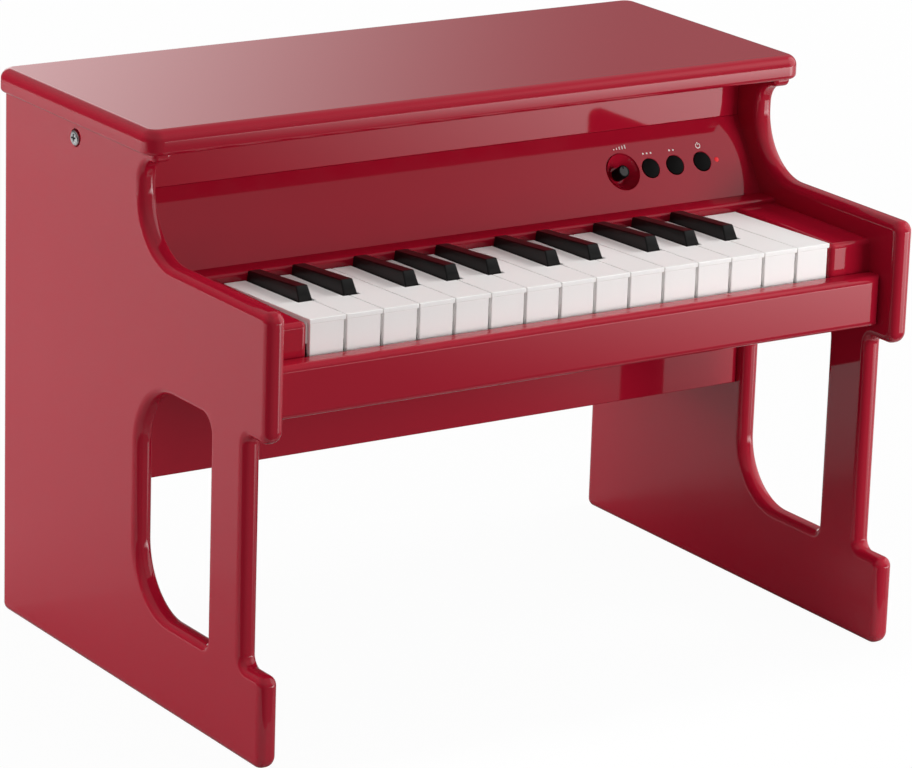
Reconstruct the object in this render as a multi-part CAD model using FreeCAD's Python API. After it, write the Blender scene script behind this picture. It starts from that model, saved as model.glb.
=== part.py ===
import FreeCAD, Part
import math
import os

# Toy piano in the shape of a small upright: lacquered board cabinet, 25 small keys on one pivot rod,
# a sloped control panel with a volume knob and three push buttons, and a lid hinged along the back.
# Millimetres. X runs along the keys to the right, Y away from the player, Z up.
# The origin is on the floor under the middle of the overall box.

# Lid
overall_height = 309.3
lid_thickness = 13.2
lid_side_overhang = 5.15
lid_front_overhang = 3.6
lid_corner_radius = 9.5
lid_top_round = 5.0
lid_bottom_round = 2.5
lid_seat_gap = 0.3

# Side panels
side_thickness = 11.4
side_edge_round = 3.0
foot_height = 50.3
foot_length = 21.6
foot_bottom_round = 7.0
foot_top_round = 5.5
heel_round = 5.0
leg_width = 34.4
leg_fillet = 5.0
window_length = 74.2
window_front_top_round = 9.0
window_front_bottom_round = 4.0
window_rear_round = 35.0
arm_depth = 68.8
arm_bottom_round = 7.0
arm_top_round = 6.0
shoulder_radius = 34.0
waist_height = 5.1
cove_radius = 11.0
horn_flat = 0.1
horn_height = 4.1
horn_round_margin = 0.2

# Boards between the sides, from the player to the back and from the lid down
slip_setback = 11.5
slip_length = 11.3
slip_height = 28.2
slip_drop = 2.3
slip_round = 3.5
slip_end_gap = 0.3
slip_key_gap = 1.1
cheek_width = 26.35
cheek_top_drop = 3.0
cheek_round = 3.0
strip_gap = 1.0
strip_thickness = 6.7
strip_length = 27.0
strip_round = 2.0
panel_ledge = 12.96
panel_rise = 39.3
panel_tilt = 32.4
panel_thickness = 10.0
frieze_thickness = 9.0
frieze_height = 26.3
frieze_recess = 18.4
deck_length = 110.1
deck_thickness = 12.0
deck_drop = 1.4
rear_panel_thickness = 9.0
rear_panel_recess = 3.5
keybed_thickness = 10.0
keybed_length = 178.0
lower_panel_height = 68.0
lower_panel_thickness = 10.3
lower_panel_lap = 0.3
bottom_board_thickness = 10.0

# Lid hinges
hinge_inset = 71.5
hinge_reach = 3.0
hinge_length = 30.0
hinge_centre_knuckle = 9.8
hinge_knuckle_gap = 0.3
hinge_knuckle_radius = 2.4
hinge_pin_radius = 1.2
hinge_pin_clearance = 0.05
hinge_leaf_thickness = 1.2
hinge_leaf_length = 18.0

# Keys
white_pitch = 21.9
white_gap = 0.8
white_top_drop = 1.9
white_fall = 2.7
white_top_above_bed = 34.6
white_length = 85.6
white_slab_thickness = 13.8
white_lip_overhang = 0.8
white_lip_thickness = 2.6
white_apron_thickness = 2.0
white_apron_height = 22.3
white_edge_round = 0.6
black_width = 8.2
black_side_slope = 0.6
black_height = 7.2
black_fall = 2.1
black_length = 51.8
black_front_slope = 4.1
black_edge_round = 0.7
black_pair_offset = 2.55
black_trio_offset = 3.8
black_shift = 1.0
black_side_gap = 1.0
black_front_gap = 1.2
key_end_gap = 0.9
neck_length = 39.0
neck_thickness = 8.0
neck_drop = 7.3
pivot_from_end = 5.0
pivot_rod_radius = 2.0
pivot_clearance = 0.05

# Keyboard tray, contact board and rubber contact strip
tray_wall = 2.5
tray_front_gap = 8.0
tray_end_gap = 0.75
tray_rear_reach = 12.0
bracket_thickness = 4.0
bracket_length = 12.0
bracket_gap = 1.05
rod_overhang = 0.8
contact_board_thickness = 1.6
contact_board_length = 32.0
contact_from_end = 30.0
rubber_base_thickness = 1.0
rubber_base_length = 16.0
rubber_end_inset = 2.0
dome_height = 5.6
dome_base_radius = 4.0
dome_top_radius = 2.6
dome_gap = 0.3

# Controls on the sloped panel: along the slope from its lower edge, and in from its right end
control_line = 22.3
lamp_inset = 22.8
power_to_lamp = 9.9
song_to_power = 18.5
sound_to_song = 16.5
dish_to_sound = 18.8
dish_radius = 10.35
dish_floor_radius = 4.8
dish_depth = 7.0
knob_radius = 3.6
knob_proud = 1.2
knob_floor_gap = 0.4
knob_edge = 0.4
knob_pointer_width = 0.8
knob_pointer_depth = 0.5
knob_shaft_radius = 2.0
knob_shaft_clearance = 0.05
knob_shaft_hole_gap = 0.5
knob_shaft_reach = 4.5
pot_width = 16.0
pot_depth = 9.0
pot_bore_end_gap = 0.3
button_radius = 5.45
button_hole_gap = 0.3
button_proud = 0.9
button_crown = 0.6
button_flange_lip = 0.95
button_flange_gap = 0.3
button_flange_thickness = 1.0
button_stem_radius = 1.6
button_stem_length = 1.4
button_travel = 1.2
switch_gap = 0.3
switch_width = 6.0
switch_depth = 2.8
control_board_thickness = 1.6
control_board_edge = 3.0
control_post_radius = 2.2
control_post_gap = 0.5
lamp_radius = 1.45
lamp_clearance = 0.05
lamp_proud = 0.4
lamp_crown = 0.8

# Speaker under the deck
speaker_hole_radius = 32.0
speaker_flange_width = 7.0
speaker_flange_thickness = 2.0
speaker_ledge_width = 2.5
speaker_ledge_thickness = 1.5
speaker_basket_depth = 20.0
speaker_basket_wall = 2.0
speaker_magnet_radius = 22.0
speaker_magnet_depth = 12.0
cone_rim_gap = 0.3
cone_depth = 14.0
cone_throat_radius = 9.0
cone_thickness = 1.0

# Battery compartment, with six round cells in two rows of three
cell_radius = 7.1
cell_length = 48.5
cell_nub_radius = 2.7
cell_nub_length = 1.5
cell_gap = 0.5
cell_rows = 2
cells_per_row = 3
battery_wall = 2.0
battery_fit_gap = 0.3
battery_flange_width = 6.0
battery_flange_thickness = 2.0
battery_door_thickness = 2.5
battery_inset = 121.5

# Main circuit board on posts
main_board_length = 120.0
main_board_width = 70.0
main_board_thickness = 1.6
main_board_lift = 5.0
main_post_radius = 3.0
main_post_inset = 6.0

# Sockets in the rear panel
jack_lift = 24.3
headphone_inset = 71.5
jack_gap = 14.0
jack_body_width = 14.0
jack_body_depth = 18.0
jack_body_height = 12.0
jack_bushing_radius = 4.5
jack_bushing_gap = 0.05
jack_bushing_proud = 0.6
headphone_bore_radius = 1.8
headphone_bore_depth = 15.0
inlet_bore_radius = 2.9
inlet_bore_depth = 10.0
inlet_pin_radius = 1.0
inlet_pin_short = 1.0

# Screws, all alike
screw_head_radius = 4.2
screw_head_height = 2.8
screw_head_round = 1.2
screw_shank_radius = 2.0
screw_length = 24.0
screw_clearance = 0.05
screw_slot_width = 1.1
screw_slot_length = 4.6
screw_slot_depth = 1.3
side_screw_setback = 40.9
side_screw_drop = 8.4
counterbore_gap = 0.8
counterbore_depth = 1.4
rear_screw_inset = 21.5
rear_screw_columns = 3

# Key names, and how far each black key stands off the line between its two white keys
key_names = ["c", "c_sharp", "d", "d_sharp", "e", "f", "f_sharp", "g", "g_sharp", "a", "a_sharp", "b"]
octaves = 2
white_count = 7 * octaves + 1
black_offsets = {"c_sharp": -black_pair_offset, "d_sharp": black_pair_offset,
                 "f_sharp": -black_trio_offset, "g_sharp": 0.0, "a_sharp": black_trio_offset}

# Widths, from the keys outwards
keyboard_half = white_count * white_pitch / 2
cheek_inner = keyboard_half + key_end_gap
side_inner = cheek_inner + cheek_width
side_outer = side_inner + side_thickness
lid_half = side_outer + lid_side_overhang

# Depths, from the player to the back; the origin is in the middle of the overall depth
tilt = math.radians(panel_tilt)
panel_run = panel_rise * math.tan(tilt)
frieze_setback = (slip_setback + slip_length + slip_key_gap + white_length + strip_gap + panel_ledge
                  + panel_run)
body_length = frieze_thickness + deck_length + rear_panel_thickness + rear_panel_recess
overall_depth = frieze_setback + body_length + hinge_reach
front = -overall_depth / 2
slip_front = front + slip_setback
slip_rear = slip_front + slip_length
key_front = slip_rear + slip_key_gap
key_end = key_front + white_length
black_front = key_end - black_length
neck_end = key_end + neck_length
pivot_y = neck_end - pivot_from_end
contact_y = key_end - contact_from_end
strip_front = key_end + strip_gap
strip_rear = strip_front + strip_length
frieze_front = front + frieze_setback
frieze_rear = frieze_front + frieze_thickness
rear_panel_front = frieze_rear + deck_length
rear_panel_rear = rear_panel_front + rear_panel_thickness
side_rear = rear_panel_rear + rear_panel_recess
hinge_y = side_rear + hinge_reach - hinge_knuckle_radius
lower_panel_front = strip_rear - lower_panel_lap
lower_panel_rear = lower_panel_front + lower_panel_thickness
bottom_board_middle = (lower_panel_rear + rear_panel_front) / 2
leg_front = front + foot_length
window_front = leg_front + leg_width
window_rear = window_front + window_length
horn_round = side_edge_round + horn_round_margin
waist = frieze_front - frieze_recess
horn_front = waist - cove_radius - horn_round - horn_flat
lid_front = horn_front - lid_front_overhang

# Heights, from the lid down
lid_bottom = overall_height - lid_thickness
side_top = lid_bottom - lid_seat_gap
horn_bottom = side_top - horn_height
arm_top = horn_bottom - cove_radius - waist_height - shoulder_radius
arm_bottom = arm_top - arm_depth
deck_top = side_top - deck_drop
deck_bottom = deck_top - deck_thickness
frieze_bottom = side_top - frieze_height
strip_top = frieze_bottom - panel_rise
strip_bottom = strip_top - strip_thickness
cheek_top = strip_top - cheek_top_drop
white_top = strip_top - white_top_drop
slab_bottom = white_top - white_slab_thickness
neck_top = white_top - neck_drop
neck_bottom = neck_top - neck_thickness
pivot_z = (neck_top + neck_bottom) / 2
rubber_top = slab_bottom - dome_gap - dome_height
board_top = rubber_top - rubber_base_thickness
tray_top = board_top - contact_board_thickness
keybed_top = white_top - white_top_above_bed
keybed_bottom = keybed_top - keybed_thickness
slip_bottom = keybed_bottom - slip_drop
body_bottom = keybed_bottom - lower_panel_height
bottom_board_top = body_bottom + bottom_board_thickness
jack_height = bottom_board_top + jack_lift

# The sloped panel stands on the strip and leans back to the lower edge of the frieze
panel_foot = FreeCAD.Vector(0, frieze_front - panel_run, strip_top)
panel_up = FreeCAD.Vector(0, math.sin(tilt), math.cos(tilt))
panel_in = FreeCAD.Vector(0, math.cos(tilt), -math.sin(tilt))

# Places of the controls, the sockets and what stands on the bottom board
lamp_x = side_inner - lamp_inset
power_x = lamp_x - power_to_lamp
song_x = power_x - song_to_power
sound_x = song_x - sound_to_song
dish_x = sound_x - dish_to_sound
button_places = {"sound_button": sound_x, "song_button": song_x, "power_button": power_x}
button_flange_radius = button_radius + button_flange_lip
battery_x = side_inner - battery_inset
headphone_x = headphone_inset - side_inner
power_inlet_x = headphone_x + jack_body_width + jack_gap
hinge_x = side_inner - hinge_inset


def box(x0, x1, y0, y1, z0, z1):
    """Upright block between two corners."""
    return Part.makeBox(x1 - x0, y1 - y0, z1 - z0, FreeCAD.Vector(x0, y0, z0))


def cylinder_x(radius, x0, x1, y, z):
    """Round bar along X."""
    return Part.makeCylinder(radius, x1 - x0, FreeCAD.Vector(x0, y, z), FreeCAD.Vector(1, 0, 0))


def cylinder_y(radius, x, y0, y1, z):
    """Round bar along Y."""
    return Part.makeCylinder(radius, y1 - y0, FreeCAD.Vector(x, y0, z), FreeCAD.Vector(0, 1, 0))


def cylinder_z(radius, x, y, z0, z1):
    """Round bar along Z."""
    return Part.makeCylinder(radius, z1 - z0, FreeCAD.Vector(x, y, z0))


def on_panel(x, along, depth):
    """Point on the sloped panel: along the slope from its foot, depth inward from its face."""
    return panel_foot + FreeCAD.Vector(x, 0, 0) + panel_up * along + panel_in * depth


def panel_bar(radius, x, along, depth0, depth1):
    """Round bar square to the sloped panel."""
    return Part.makeCylinder(radius, depth1 - depth0, on_panel(x, along, depth0), panel_in)


def domed_bar(radius, crown, x, along, depth0, depth1):
    """Round bar square to the sloped panel whose outer end is domed by the crown's height."""
    top = on_panel(x, along, depth0)
    bottom = on_panel(x, along, depth1)
    across = FreeCAD.Vector(1, 0, 0)
    dome_radius = (radius * radius + crown * crown) / (2 * crown)
    half_turn = math.asin(radius / dome_radius) / 2
    halfway = (top + panel_in * (dome_radius * (1 - math.cos(half_turn)))
               + across * (dome_radius * math.sin(half_turn)))
    shoulder = top + panel_in * crown + across * radius
    foot = bottom + across * radius
    edges = [Part.Arc(top, halfway, shoulder).toShape(), Part.LineSegment(shoulder, foot).toShape(),
             Part.LineSegment(foot, bottom).toShape(), Part.LineSegment(bottom, top).toShape()]
    return Part.Face(Part.Wire(edges)).revolve(top, panel_in, 360)


def panel_box(x0, x1, along0, along1, depth0, depth1):
    """Block square to the sloped panel."""
    shape = Part.makeBox(x1 - x0, depth1 - depth0, along1 - along0,
                         panel_foot + FreeCAD.Vector(x0, depth0, along0))
    shape.rotate(panel_foot, FreeCAD.Vector(1, 0, 0), -panel_tilt)
    return shape


def rounded_wire(corners, x):
    """Closed outline in the plane x through (y, z, radius) corners, each rounded by its radius."""
    edges = []
    last_point = None
    first_point = None
    count = len(corners)
    for i in range(count):
        corner = FreeCAD.Vector(x, corners[i][0], corners[i][1])
        before = FreeCAD.Vector(x, corners[i - 1][0], corners[i - 1][1])
        after = FreeCAD.Vector(x, corners[(i + 1) % count][0], corners[(i + 1) % count][1])
        radius = corners[i][2]
        start = corner
        end = corner
        arc = None
        if radius > 0:
            to_before = (before - corner).normalize()
            to_after = (after - corner).normalize()
            half = to_before.getAngle(to_after) / 2
            start = corner + to_before * (radius / math.tan(half))
            end = corner + to_after * (radius / math.tan(half))
            centre = corner + (to_before + to_after).normalize() * (radius / math.sin(half))
            middle = centre + (corner - centre).normalize() * radius
            arc = Part.Arc(start, middle, end).toShape()
        if last_point is None:
            first_point = start
        else:
            edges.append(Part.LineSegment(last_point, start).toShape())
        if arc is not None:
            edges.append(arc)
        last_point = end
    edges.append(Part.LineSegment(last_point, first_point).toShape())
    return Part.Wire(edges)


def edges_at(shape, test):
    """Edges whose every vertex passes the test."""
    return [edge for edge in shape.Edges if all(test(vertex.Point) for vertex in edge.Vertexes)]


def near(value, target):
    return abs(value - target) < 1e-4


def mirrored(shape):
    """The same piece on the other side of the middle plane."""
    return shape.mirror(FreeCAD.Vector(0, 0, 0), FreeCAD.Vector(1, 0, 0))


def fused(shapes):
    """One solid from pieces that touch or overlap."""
    return shapes[0].multiFuse(shapes[1:]).removeSplitter()


def save(name, shape):
    shape.exportStep("parts/" + name + ".step")


def screw(head_seat, direction):
    """Pan-head screw with a cross recess; its head sits on head_seat and its shank runs along direction."""
    head = Part.makeCylinder(screw_head_radius, screw_head_height, FreeCAD.Vector(0, 0, 0))
    head = head.makeFillet(screw_head_round, edges_at(head, lambda p: near(p.z, screw_head_height)))
    half_slot = screw_slot_length / 2
    half_width = screw_slot_width / 2
    slot_floor = screw_head_height - screw_slot_depth
    for sizes in [(half_slot, half_width), (half_width, half_slot)]:
        head = head.cut(box(-sizes[0], sizes[0], -sizes[1], sizes[1], slot_floor, screw_head_height))
    shank = Part.makeCylinder(screw_shank_radius, screw_length, FreeCAD.Vector(0, 0, -screw_length))
    shape = fused([head, shank])
    turn = FreeCAD.Rotation(FreeCAD.Vector(0, 0, -1), direction)
    shape.Placement = FreeCAD.Placement(head_seat, turn)
    return shape


def screw_hole(head_seat, direction):
    """Room for a screw's shank."""
    return Part.makeCylinder(screw_shank_radius + screw_clearance, screw_length, head_seat, direction)


# Screw places: one through each side into the deck, and rows through the rear panel
side_screw_seat = FreeCAD.Vector(side_outer - counterbore_depth, frieze_rear + side_screw_setback,
                                 side_top - side_screw_drop)
side_screw_way = FreeCAD.Vector(-1, 0, 0)
rear_screw_way = FreeCAD.Vector(0, -1, 0)
rear_screw_seats = []
for column in range(rear_screw_columns):
    screw_x = (side_inner - rear_screw_inset) * (2 * column / (rear_screw_columns - 1) - 1)
    for screw_z in [(deck_top + deck_bottom) / 2, (body_bottom + bottom_board_top) / 2]:
        rear_screw_seats.append(FreeCAD.Vector(screw_x, rear_panel_rear, screw_z))


def make_side():
    """Right side panel: foot, leg with a window behind it, arm, shoulder curve and horn under the lid."""
    outline = [(side_rear, side_top, 0), (side_rear, 0, heel_round),
               (front, 0, foot_bottom_round), (front, foot_height, foot_top_round),
               (leg_front, foot_height, leg_fillet), (leg_front, arm_bottom, leg_fillet),
               (front, arm_bottom, arm_bottom_round), (front, arm_top, arm_top_round),
               (waist, arm_top, shoulder_radius), (waist, horn_bottom, cove_radius),
               (horn_front, horn_bottom, horn_round), (horn_front, side_top, 0)]
    window = [(window_front, foot_height, window_front_bottom_round),
              (window_rear, foot_height, window_rear_round),
              (window_rear, arm_bottom, window_rear_round),
              (window_front, arm_bottom, window_front_top_round)]
    depth = FreeCAD.Vector(side_thickness, 0, 0)
    board = Part.Face(rounded_wire(outline, side_inner)).extrude(depth)
    board = board.cut(Part.Face(rounded_wire(window, side_inner)).extrude(depth))
    rim = []
    for edge in board.Edges:
        points = [vertex.Point for vertex in edge.Vertexes]
        flat = all(near(p.x, points[0].x) for p in points)
        under_lid = all(near(p.z, side_top) for p in points)
        if flat and not under_lid:
            rim.append(edge)
    board = board.makeFillet(side_edge_round, rim)
    board = board.cut(cylinder_x(screw_head_radius + counterbore_gap, side_screw_seat.x, side_outer,
                                 side_screw_seat.y, side_screw_seat.z))
    return board.cut(screw_hole(side_screw_seat, side_screw_way))


def make_lid():
    """Top board with rounded corners, a broad round along the top edge and a small one below."""
    lid = box(-lid_half, lid_half, lid_front, side_rear, lid_bottom, overall_height)
    upright = [edge for edge in lid.Edges if near(edge.Vertexes[0].X, edge.Vertexes[1].X)
               and near(edge.Vertexes[0].Y, edge.Vertexes[1].Y)]
    lid = lid.makeFillet(lid_corner_radius, upright)
    lid = lid.makeFillet(lid_top_round, edges_at(lid, lambda p: near(p.z, overall_height)))
    return lid.makeFillet(lid_bottom_round, edges_at(lid, lambda p: near(p.z, lid_bottom)))


def make_control_panel():
    """Sloped board with the knob's dish and the holes for shaft, buttons and lamp."""
    slope_run = panel_thickness / math.cos(tilt)
    section = [(panel_foot.y, strip_top, 0), (frieze_front, frieze_bottom, 0),
               (frieze_front + slope_run, frieze_bottom, 0), (panel_foot.y + slope_run, strip_top, 0)]
    panel = Part.Face(rounded_wire(section, -side_inner)).extrude(FreeCAD.Vector(2 * side_inner, 0, 0))
    dish = Part.makeCone(dish_radius, dish_floor_radius, dish_depth, on_panel(dish_x, control_line, 0),
                         panel_in)
    panel = panel.cut(dish)
    panel = panel.cut(panel_bar(knob_shaft_radius + knob_shaft_hole_gap, dish_x, control_line,
                                0, panel_thickness))
    for place in button_places.values():
        panel = panel.cut(panel_bar(button_radius + button_hole_gap, place, control_line,
                                    0, panel_thickness))
    return panel.cut(panel_bar(lamp_radius + lamp_clearance, lamp_x, control_line, 0, panel_thickness))


def make_cheek():
    """Right end block beside the keys, its edges towards the keys and the player rounded."""
    cheek = box(cheek_inner, side_inner, key_front, strip_front, keybed_top, cheek_top)
    rounded = edges_at(cheek, lambda p: near(p.z, cheek_top) and near(p.y, key_front))
    rounded += edges_at(cheek, lambda p: near(p.z, cheek_top) and near(p.x, cheek_inner))
    rounded += edges_at(cheek, lambda p: near(p.x, cheek_inner) and near(p.y, key_front))
    return cheek.makeFillet(cheek_round, rounded)


def make_slip():
    """Front rail below the keys, rounded all round its front face."""
    half = side_inner - slip_end_gap
    slip = box(-half, half, slip_front, slip_rear, slip_bottom, slip_bottom + slip_height)
    return slip.makeFillet(slip_round, edges_at(slip, lambda p: near(p.y, slip_front)))


def make_strip():
    """Rail behind the keys under the control panel, its front upper edge rounded."""
    strip = box(-side_inner, side_inner, strip_front, strip_rear, strip_bottom, strip_top)
    edge = edges_at(strip, lambda p: near(p.y, strip_front) and near(p.z, strip_top))
    return strip.makeFillet(strip_round, edge)


def make_rear_panel():
    """Back board with its screw holes and the two socket holes."""
    panel = box(-side_inner, side_inner, rear_panel_front, rear_panel_rear, body_bottom, deck_top)
    for seat in rear_screw_seats:
        panel = panel.cut(screw_hole(seat, rear_screw_way))
    for place in [headphone_x, power_inlet_x]:
        panel = panel.cut(cylinder_y(jack_bushing_radius + jack_bushing_gap, place,
                                     rear_panel_front, rear_panel_rear, jack_height))
    return panel


speaker_y = (frieze_rear + rear_panel_front) / 2
speaker_top = deck_bottom


def make_deck():
    """Board under the lid that ties the sides together and holds the speaker below its round hole."""
    deck = box(-side_inner, side_inner, frieze_rear, rear_panel_front, deck_bottom, deck_top)
    deck = deck.cut(cylinder_z(speaker_hole_radius, 0, speaker_y, deck_bottom, deck_top))
    hole = screw_hole(side_screw_seat, side_screw_way)
    deck = deck.cut(hole).cut(mirrored(hole))
    for seat in rear_screw_seats:
        deck = deck.cut(screw_hole(seat, rear_screw_way))
    return deck


def revolved(profile):
    """Round piece about the speaker's axis from (radius, height) points."""
    points = [FreeCAD.Vector(r, speaker_y, z) for r, z in profile]
    face = Part.Face(Part.makePolygon(points + [points[0]]))
    return face.revolve(FreeCAD.Vector(0, speaker_y, 0), FreeCAD.Vector(0, 0, 1), 360)


flange_bottom = speaker_top - speaker_flange_thickness
ledge_bottom = flange_bottom - speaker_ledge_thickness
basket_bottom = flange_bottom - speaker_basket_depth


def make_speaker_frame():
    """Speaker basket with its flange, inner ledge for the cone and magnet."""
    outer = speaker_hole_radius + speaker_flange_width
    ledge_inner = speaker_hole_radius - speaker_ledge_width
    magnet_bottom = basket_bottom - speaker_magnet_depth
    throat = speaker_magnet_radius - speaker_basket_wall
    return revolved([(outer, speaker_top), (outer, flange_bottom),
                     (speaker_hole_radius + speaker_basket_wall, flange_bottom),
                     (speaker_hole_radius + speaker_basket_wall, ledge_bottom),
                     (speaker_magnet_radius, basket_bottom), (speaker_magnet_radius, magnet_bottom),
                     (0, magnet_bottom), (0, basket_bottom), (throat, basket_bottom),
                     (ledge_inner, ledge_bottom), (ledge_inner, flange_bottom),
                     (speaker_hole_radius, flange_bottom), (speaker_hole_radius, speaker_top)])


def make_speaker_cone():
    """Paper cone with its flat rim on the basket's ledge and a shallow cap at its throat."""
    rim = speaker_hole_radius - cone_rim_gap
    mouth = speaker_hole_radius - speaker_ledge_width - cone_rim_gap
    top = flange_bottom + cone_thickness
    throat = top - cone_depth
    return revolved([(rim, flange_bottom), (rim, top), (mouth, top), (cone_throat_radius, throat),
                     (0, throat + cone_thickness), (0, throat - cone_thickness),
                     (cone_throat_radius, throat - cone_thickness), (mouth, flange_bottom)])


hinge_z = lid_bottom - hinge_knuckle_radius - lid_seat_gap


def hinge_places():
    return [-hinge_x, hinge_x]


def make_fixed_hinge(x):
    """Leaf on the back board with two outer knuckles and the pin."""
    outer = hinge_length / 2
    inner = hinge_centre_knuckle / 2 + hinge_knuckle_gap
    arm_bottom = hinge_z - hinge_knuckle_radius
    arm_top_face = arm_bottom + hinge_leaf_thickness
    leaf = box(x - outer, x + outer, rear_panel_rear, rear_panel_rear + hinge_leaf_thickness,
               arm_top_face - hinge_leaf_length, arm_top_face)
    pieces = [leaf, cylinder_x(hinge_pin_radius, x - outer, x + outer, hinge_y, hinge_z)]
    for low, high in [(x - outer, x - inner), (x + inner, x + outer)]:
        pieces.append(box(low, high, rear_panel_rear, hinge_y, arm_bottom, arm_top_face))
        pieces.append(cylinder_x(hinge_knuckle_radius, low, high, hinge_y, hinge_z))
    return fused(pieces)


def make_moving_hinge(x):
    """Leaf under the lid with the middle knuckle."""
    outer = hinge_length / 2
    inner = hinge_centre_knuckle / 2
    leaf_bottom = lid_bottom - hinge_leaf_thickness
    leaf_rear = rear_panel_rear + hinge_leaf_thickness - hinge_knuckle_gap
    pieces = [box(x - outer, x + outer, leaf_rear - hinge_leaf_length, leaf_rear, leaf_bottom, lid_bottom),
              box(x - inner, x + inner, leaf_rear, hinge_y, leaf_bottom, lid_bottom),
              cylinder_x(hinge_knuckle_radius, x - inner, x + inner, hinge_y, hinge_z)]
    bore = cylinder_x(hinge_pin_radius + hinge_pin_clearance, x - inner, x + inner, hinge_y, hinge_z)
    return fused(pieces).cut(bore)


def key_layout():
    """Every key in playing order: node name, whether it is black, and its x range at the back."""
    line_of = {}
    line = 0
    keys = []
    for number in range(12 * octaves + 1):
        note = key_names[number % 12]
        if note in black_offsets:
            centre = -keyboard_half + line * white_pitch + black_offsets[note] - black_shift
            line_of[line] = centre
            keys.append((number, note, None, centre))
        else:
            keys.append((number, note, line, None))
            line += 1
    layout = []
    reach = black_width / 2 + black_side_gap
    for number, note, index, centre in keys:
        name = "key_%02d_%s" % (number + 1, note)
        if index is None:
            layout.append((name, True, None, (centre - black_width / 2, centre + black_width / 2)))
            continue
        left = -keyboard_half + index * white_pitch + white_gap / 2
        right = left + white_pitch - white_gap
        back_left = line_of[index] + reach if index in line_of else left
        back_right = line_of[index + 1] - reach if index + 1 in line_of else right
        layout.append((name, False, (left, right), (back_left, back_right)))
    return layout


def white_level(y):
    """Height of the white keys' tops, which fall a little towards the rear."""
    return white_top - white_fall * (y - key_front) / white_length


def key_block(span, y0, y1, bottom):
    """Block of a key below the sloping level of the white tops."""
    section = [(y0, bottom, 0), (y1, bottom, 0), (y1, white_level(y1), 0), (y0, white_level(y0), 0)]
    return Part.Face(rounded_wire(section, span[0])).extrude(FreeCAD.Vector(span[1] - span[0], 0, 0))


def with_pivot(pieces, span):
    """Key with its neck under the rail and the bore for the pivot rod."""
    neck = box(span[0], span[1], key_end, neck_end, neck_bottom, neck_top)
    bore = cylinder_x(pivot_rod_radius + pivot_clearance, span[0], span[1], pivot_y, pivot_z)
    return fused(pieces + [neck]).cut(bore)


def make_white_key(span, back):
    """White key: wide front with a thin lip over its apron, and a back cut away beside the black keys."""
    face = key_front + white_lip_overhang
    notch = black_front - black_front_gap
    apron_rear = face + white_apron_thickness
    pieces = [key_block(span, face, notch, slab_bottom),
              key_block(back, notch, key_end, slab_bottom),
              key_block(span, face, apron_rear, white_top - white_apron_height),
              key_block(span, key_front, apron_rear, white_top - white_lip_thickness)]
    key = with_pivot(pieces, back)
    rim = edges_at(key, lambda p: near(p.z, white_level(p.y)) and p.y < key_end - white_edge_round)
    return key.makeFillet(white_edge_round, rim)


def make_black_key(span):
    """Black key: straight sides between the white keys, a tapered top and a sloped front."""
    middle = (span[0] + span[1]) / 2
    crown_front = black_front + black_front_slope
    rear_height = black_height - black_fall
    rear_slope = black_side_slope * rear_height / black_height
    rings = []
    for front, front_lift, front_in, rear_lift, rear_in in [
            (black_front, 0, 0, 0, 0),
            (crown_front, black_height, black_side_slope, rear_height, rear_slope)]:
        ring = []
        for side, y, lift, inset in [(-1, front, front_lift, front_in), (1, front, front_lift, front_in),
                                     (1, key_end, rear_lift, rear_in), (-1, key_end, rear_lift, rear_in)]:
            x = middle + side * (black_width / 2 - inset)
            ring.append(FreeCAD.Vector(x, y, white_level(y) + lift))
        rings.append(ring)
    crown = Part.makeLoft([Part.makePolygon(ring + [ring[0]]) for ring in rings], True, True)
    key = with_pivot([key_block(span, black_front, key_end, slab_bottom), crown], span)
    crown_top = rings[1]
    crown_drop = (crown_top[0].z - crown_top[2].z) / (key_end - crown_front)

    def on_crown(p):
        return near(p.z, crown_top[0].z - crown_drop * (p.y - crown_front))

    return key.makeFillet(black_edge_round, edges_at(key, on_crown))


def make_keyboard_tray():
    """Frame under the keys: an upturned tray with a bracket at each end for the pivot rod."""
    half = cheek_inner - tray_end_gap
    wing = keyboard_half + bracket_gap + bracket_thickness
    tray_front = key_front + tray_front_gap
    tray_rear = pivot_y + tray_rear_reach
    shell = [box(-half, half, tray_front, strip_front, keybed_top, tray_top),
             box(-wing, wing, strip_front, tray_rear, keybed_top, tray_top)]
    tray = fused(shell)
    room_top = tray_top - tray_wall
    tray = tray.cut(box(-half + tray_wall, half - tray_wall, tray_front + tray_wall, tray_rear - tray_wall,
                        keybed_top, room_top))
    ends = []
    for side in [-1, 1]:
        near_face = side * (keyboard_half + bracket_gap)
        far_face = side * wing
        ends.append(box(min(near_face, far_face), max(near_face, far_face), pivot_y - bracket_length / 2,
                        pivot_y + bracket_length / 2, tray_top, neck_top))
    tray = fused([tray] + ends)
    reach = wing + rod_overhang
    return tray.cut(cylinder_x(pivot_rod_radius + pivot_clearance, -reach, reach, pivot_y, pivot_z))


def make_contact_strip(layout):
    """Rubber strip with one dome below each key."""
    half = keyboard_half - rubber_end_inset
    strip = [box(-half, half, contact_y - rubber_base_length / 2, contact_y + rubber_base_length / 2,
                 board_top, rubber_top)]
    for key in layout:
        middle = (key[3][0] + key[3][1]) / 2
        strip.append(Part.makeCone(dome_base_radius, dome_top_radius, dome_height,
                                   FreeCAD.Vector(middle, contact_y, rubber_top)))
    return fused(strip)


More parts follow.
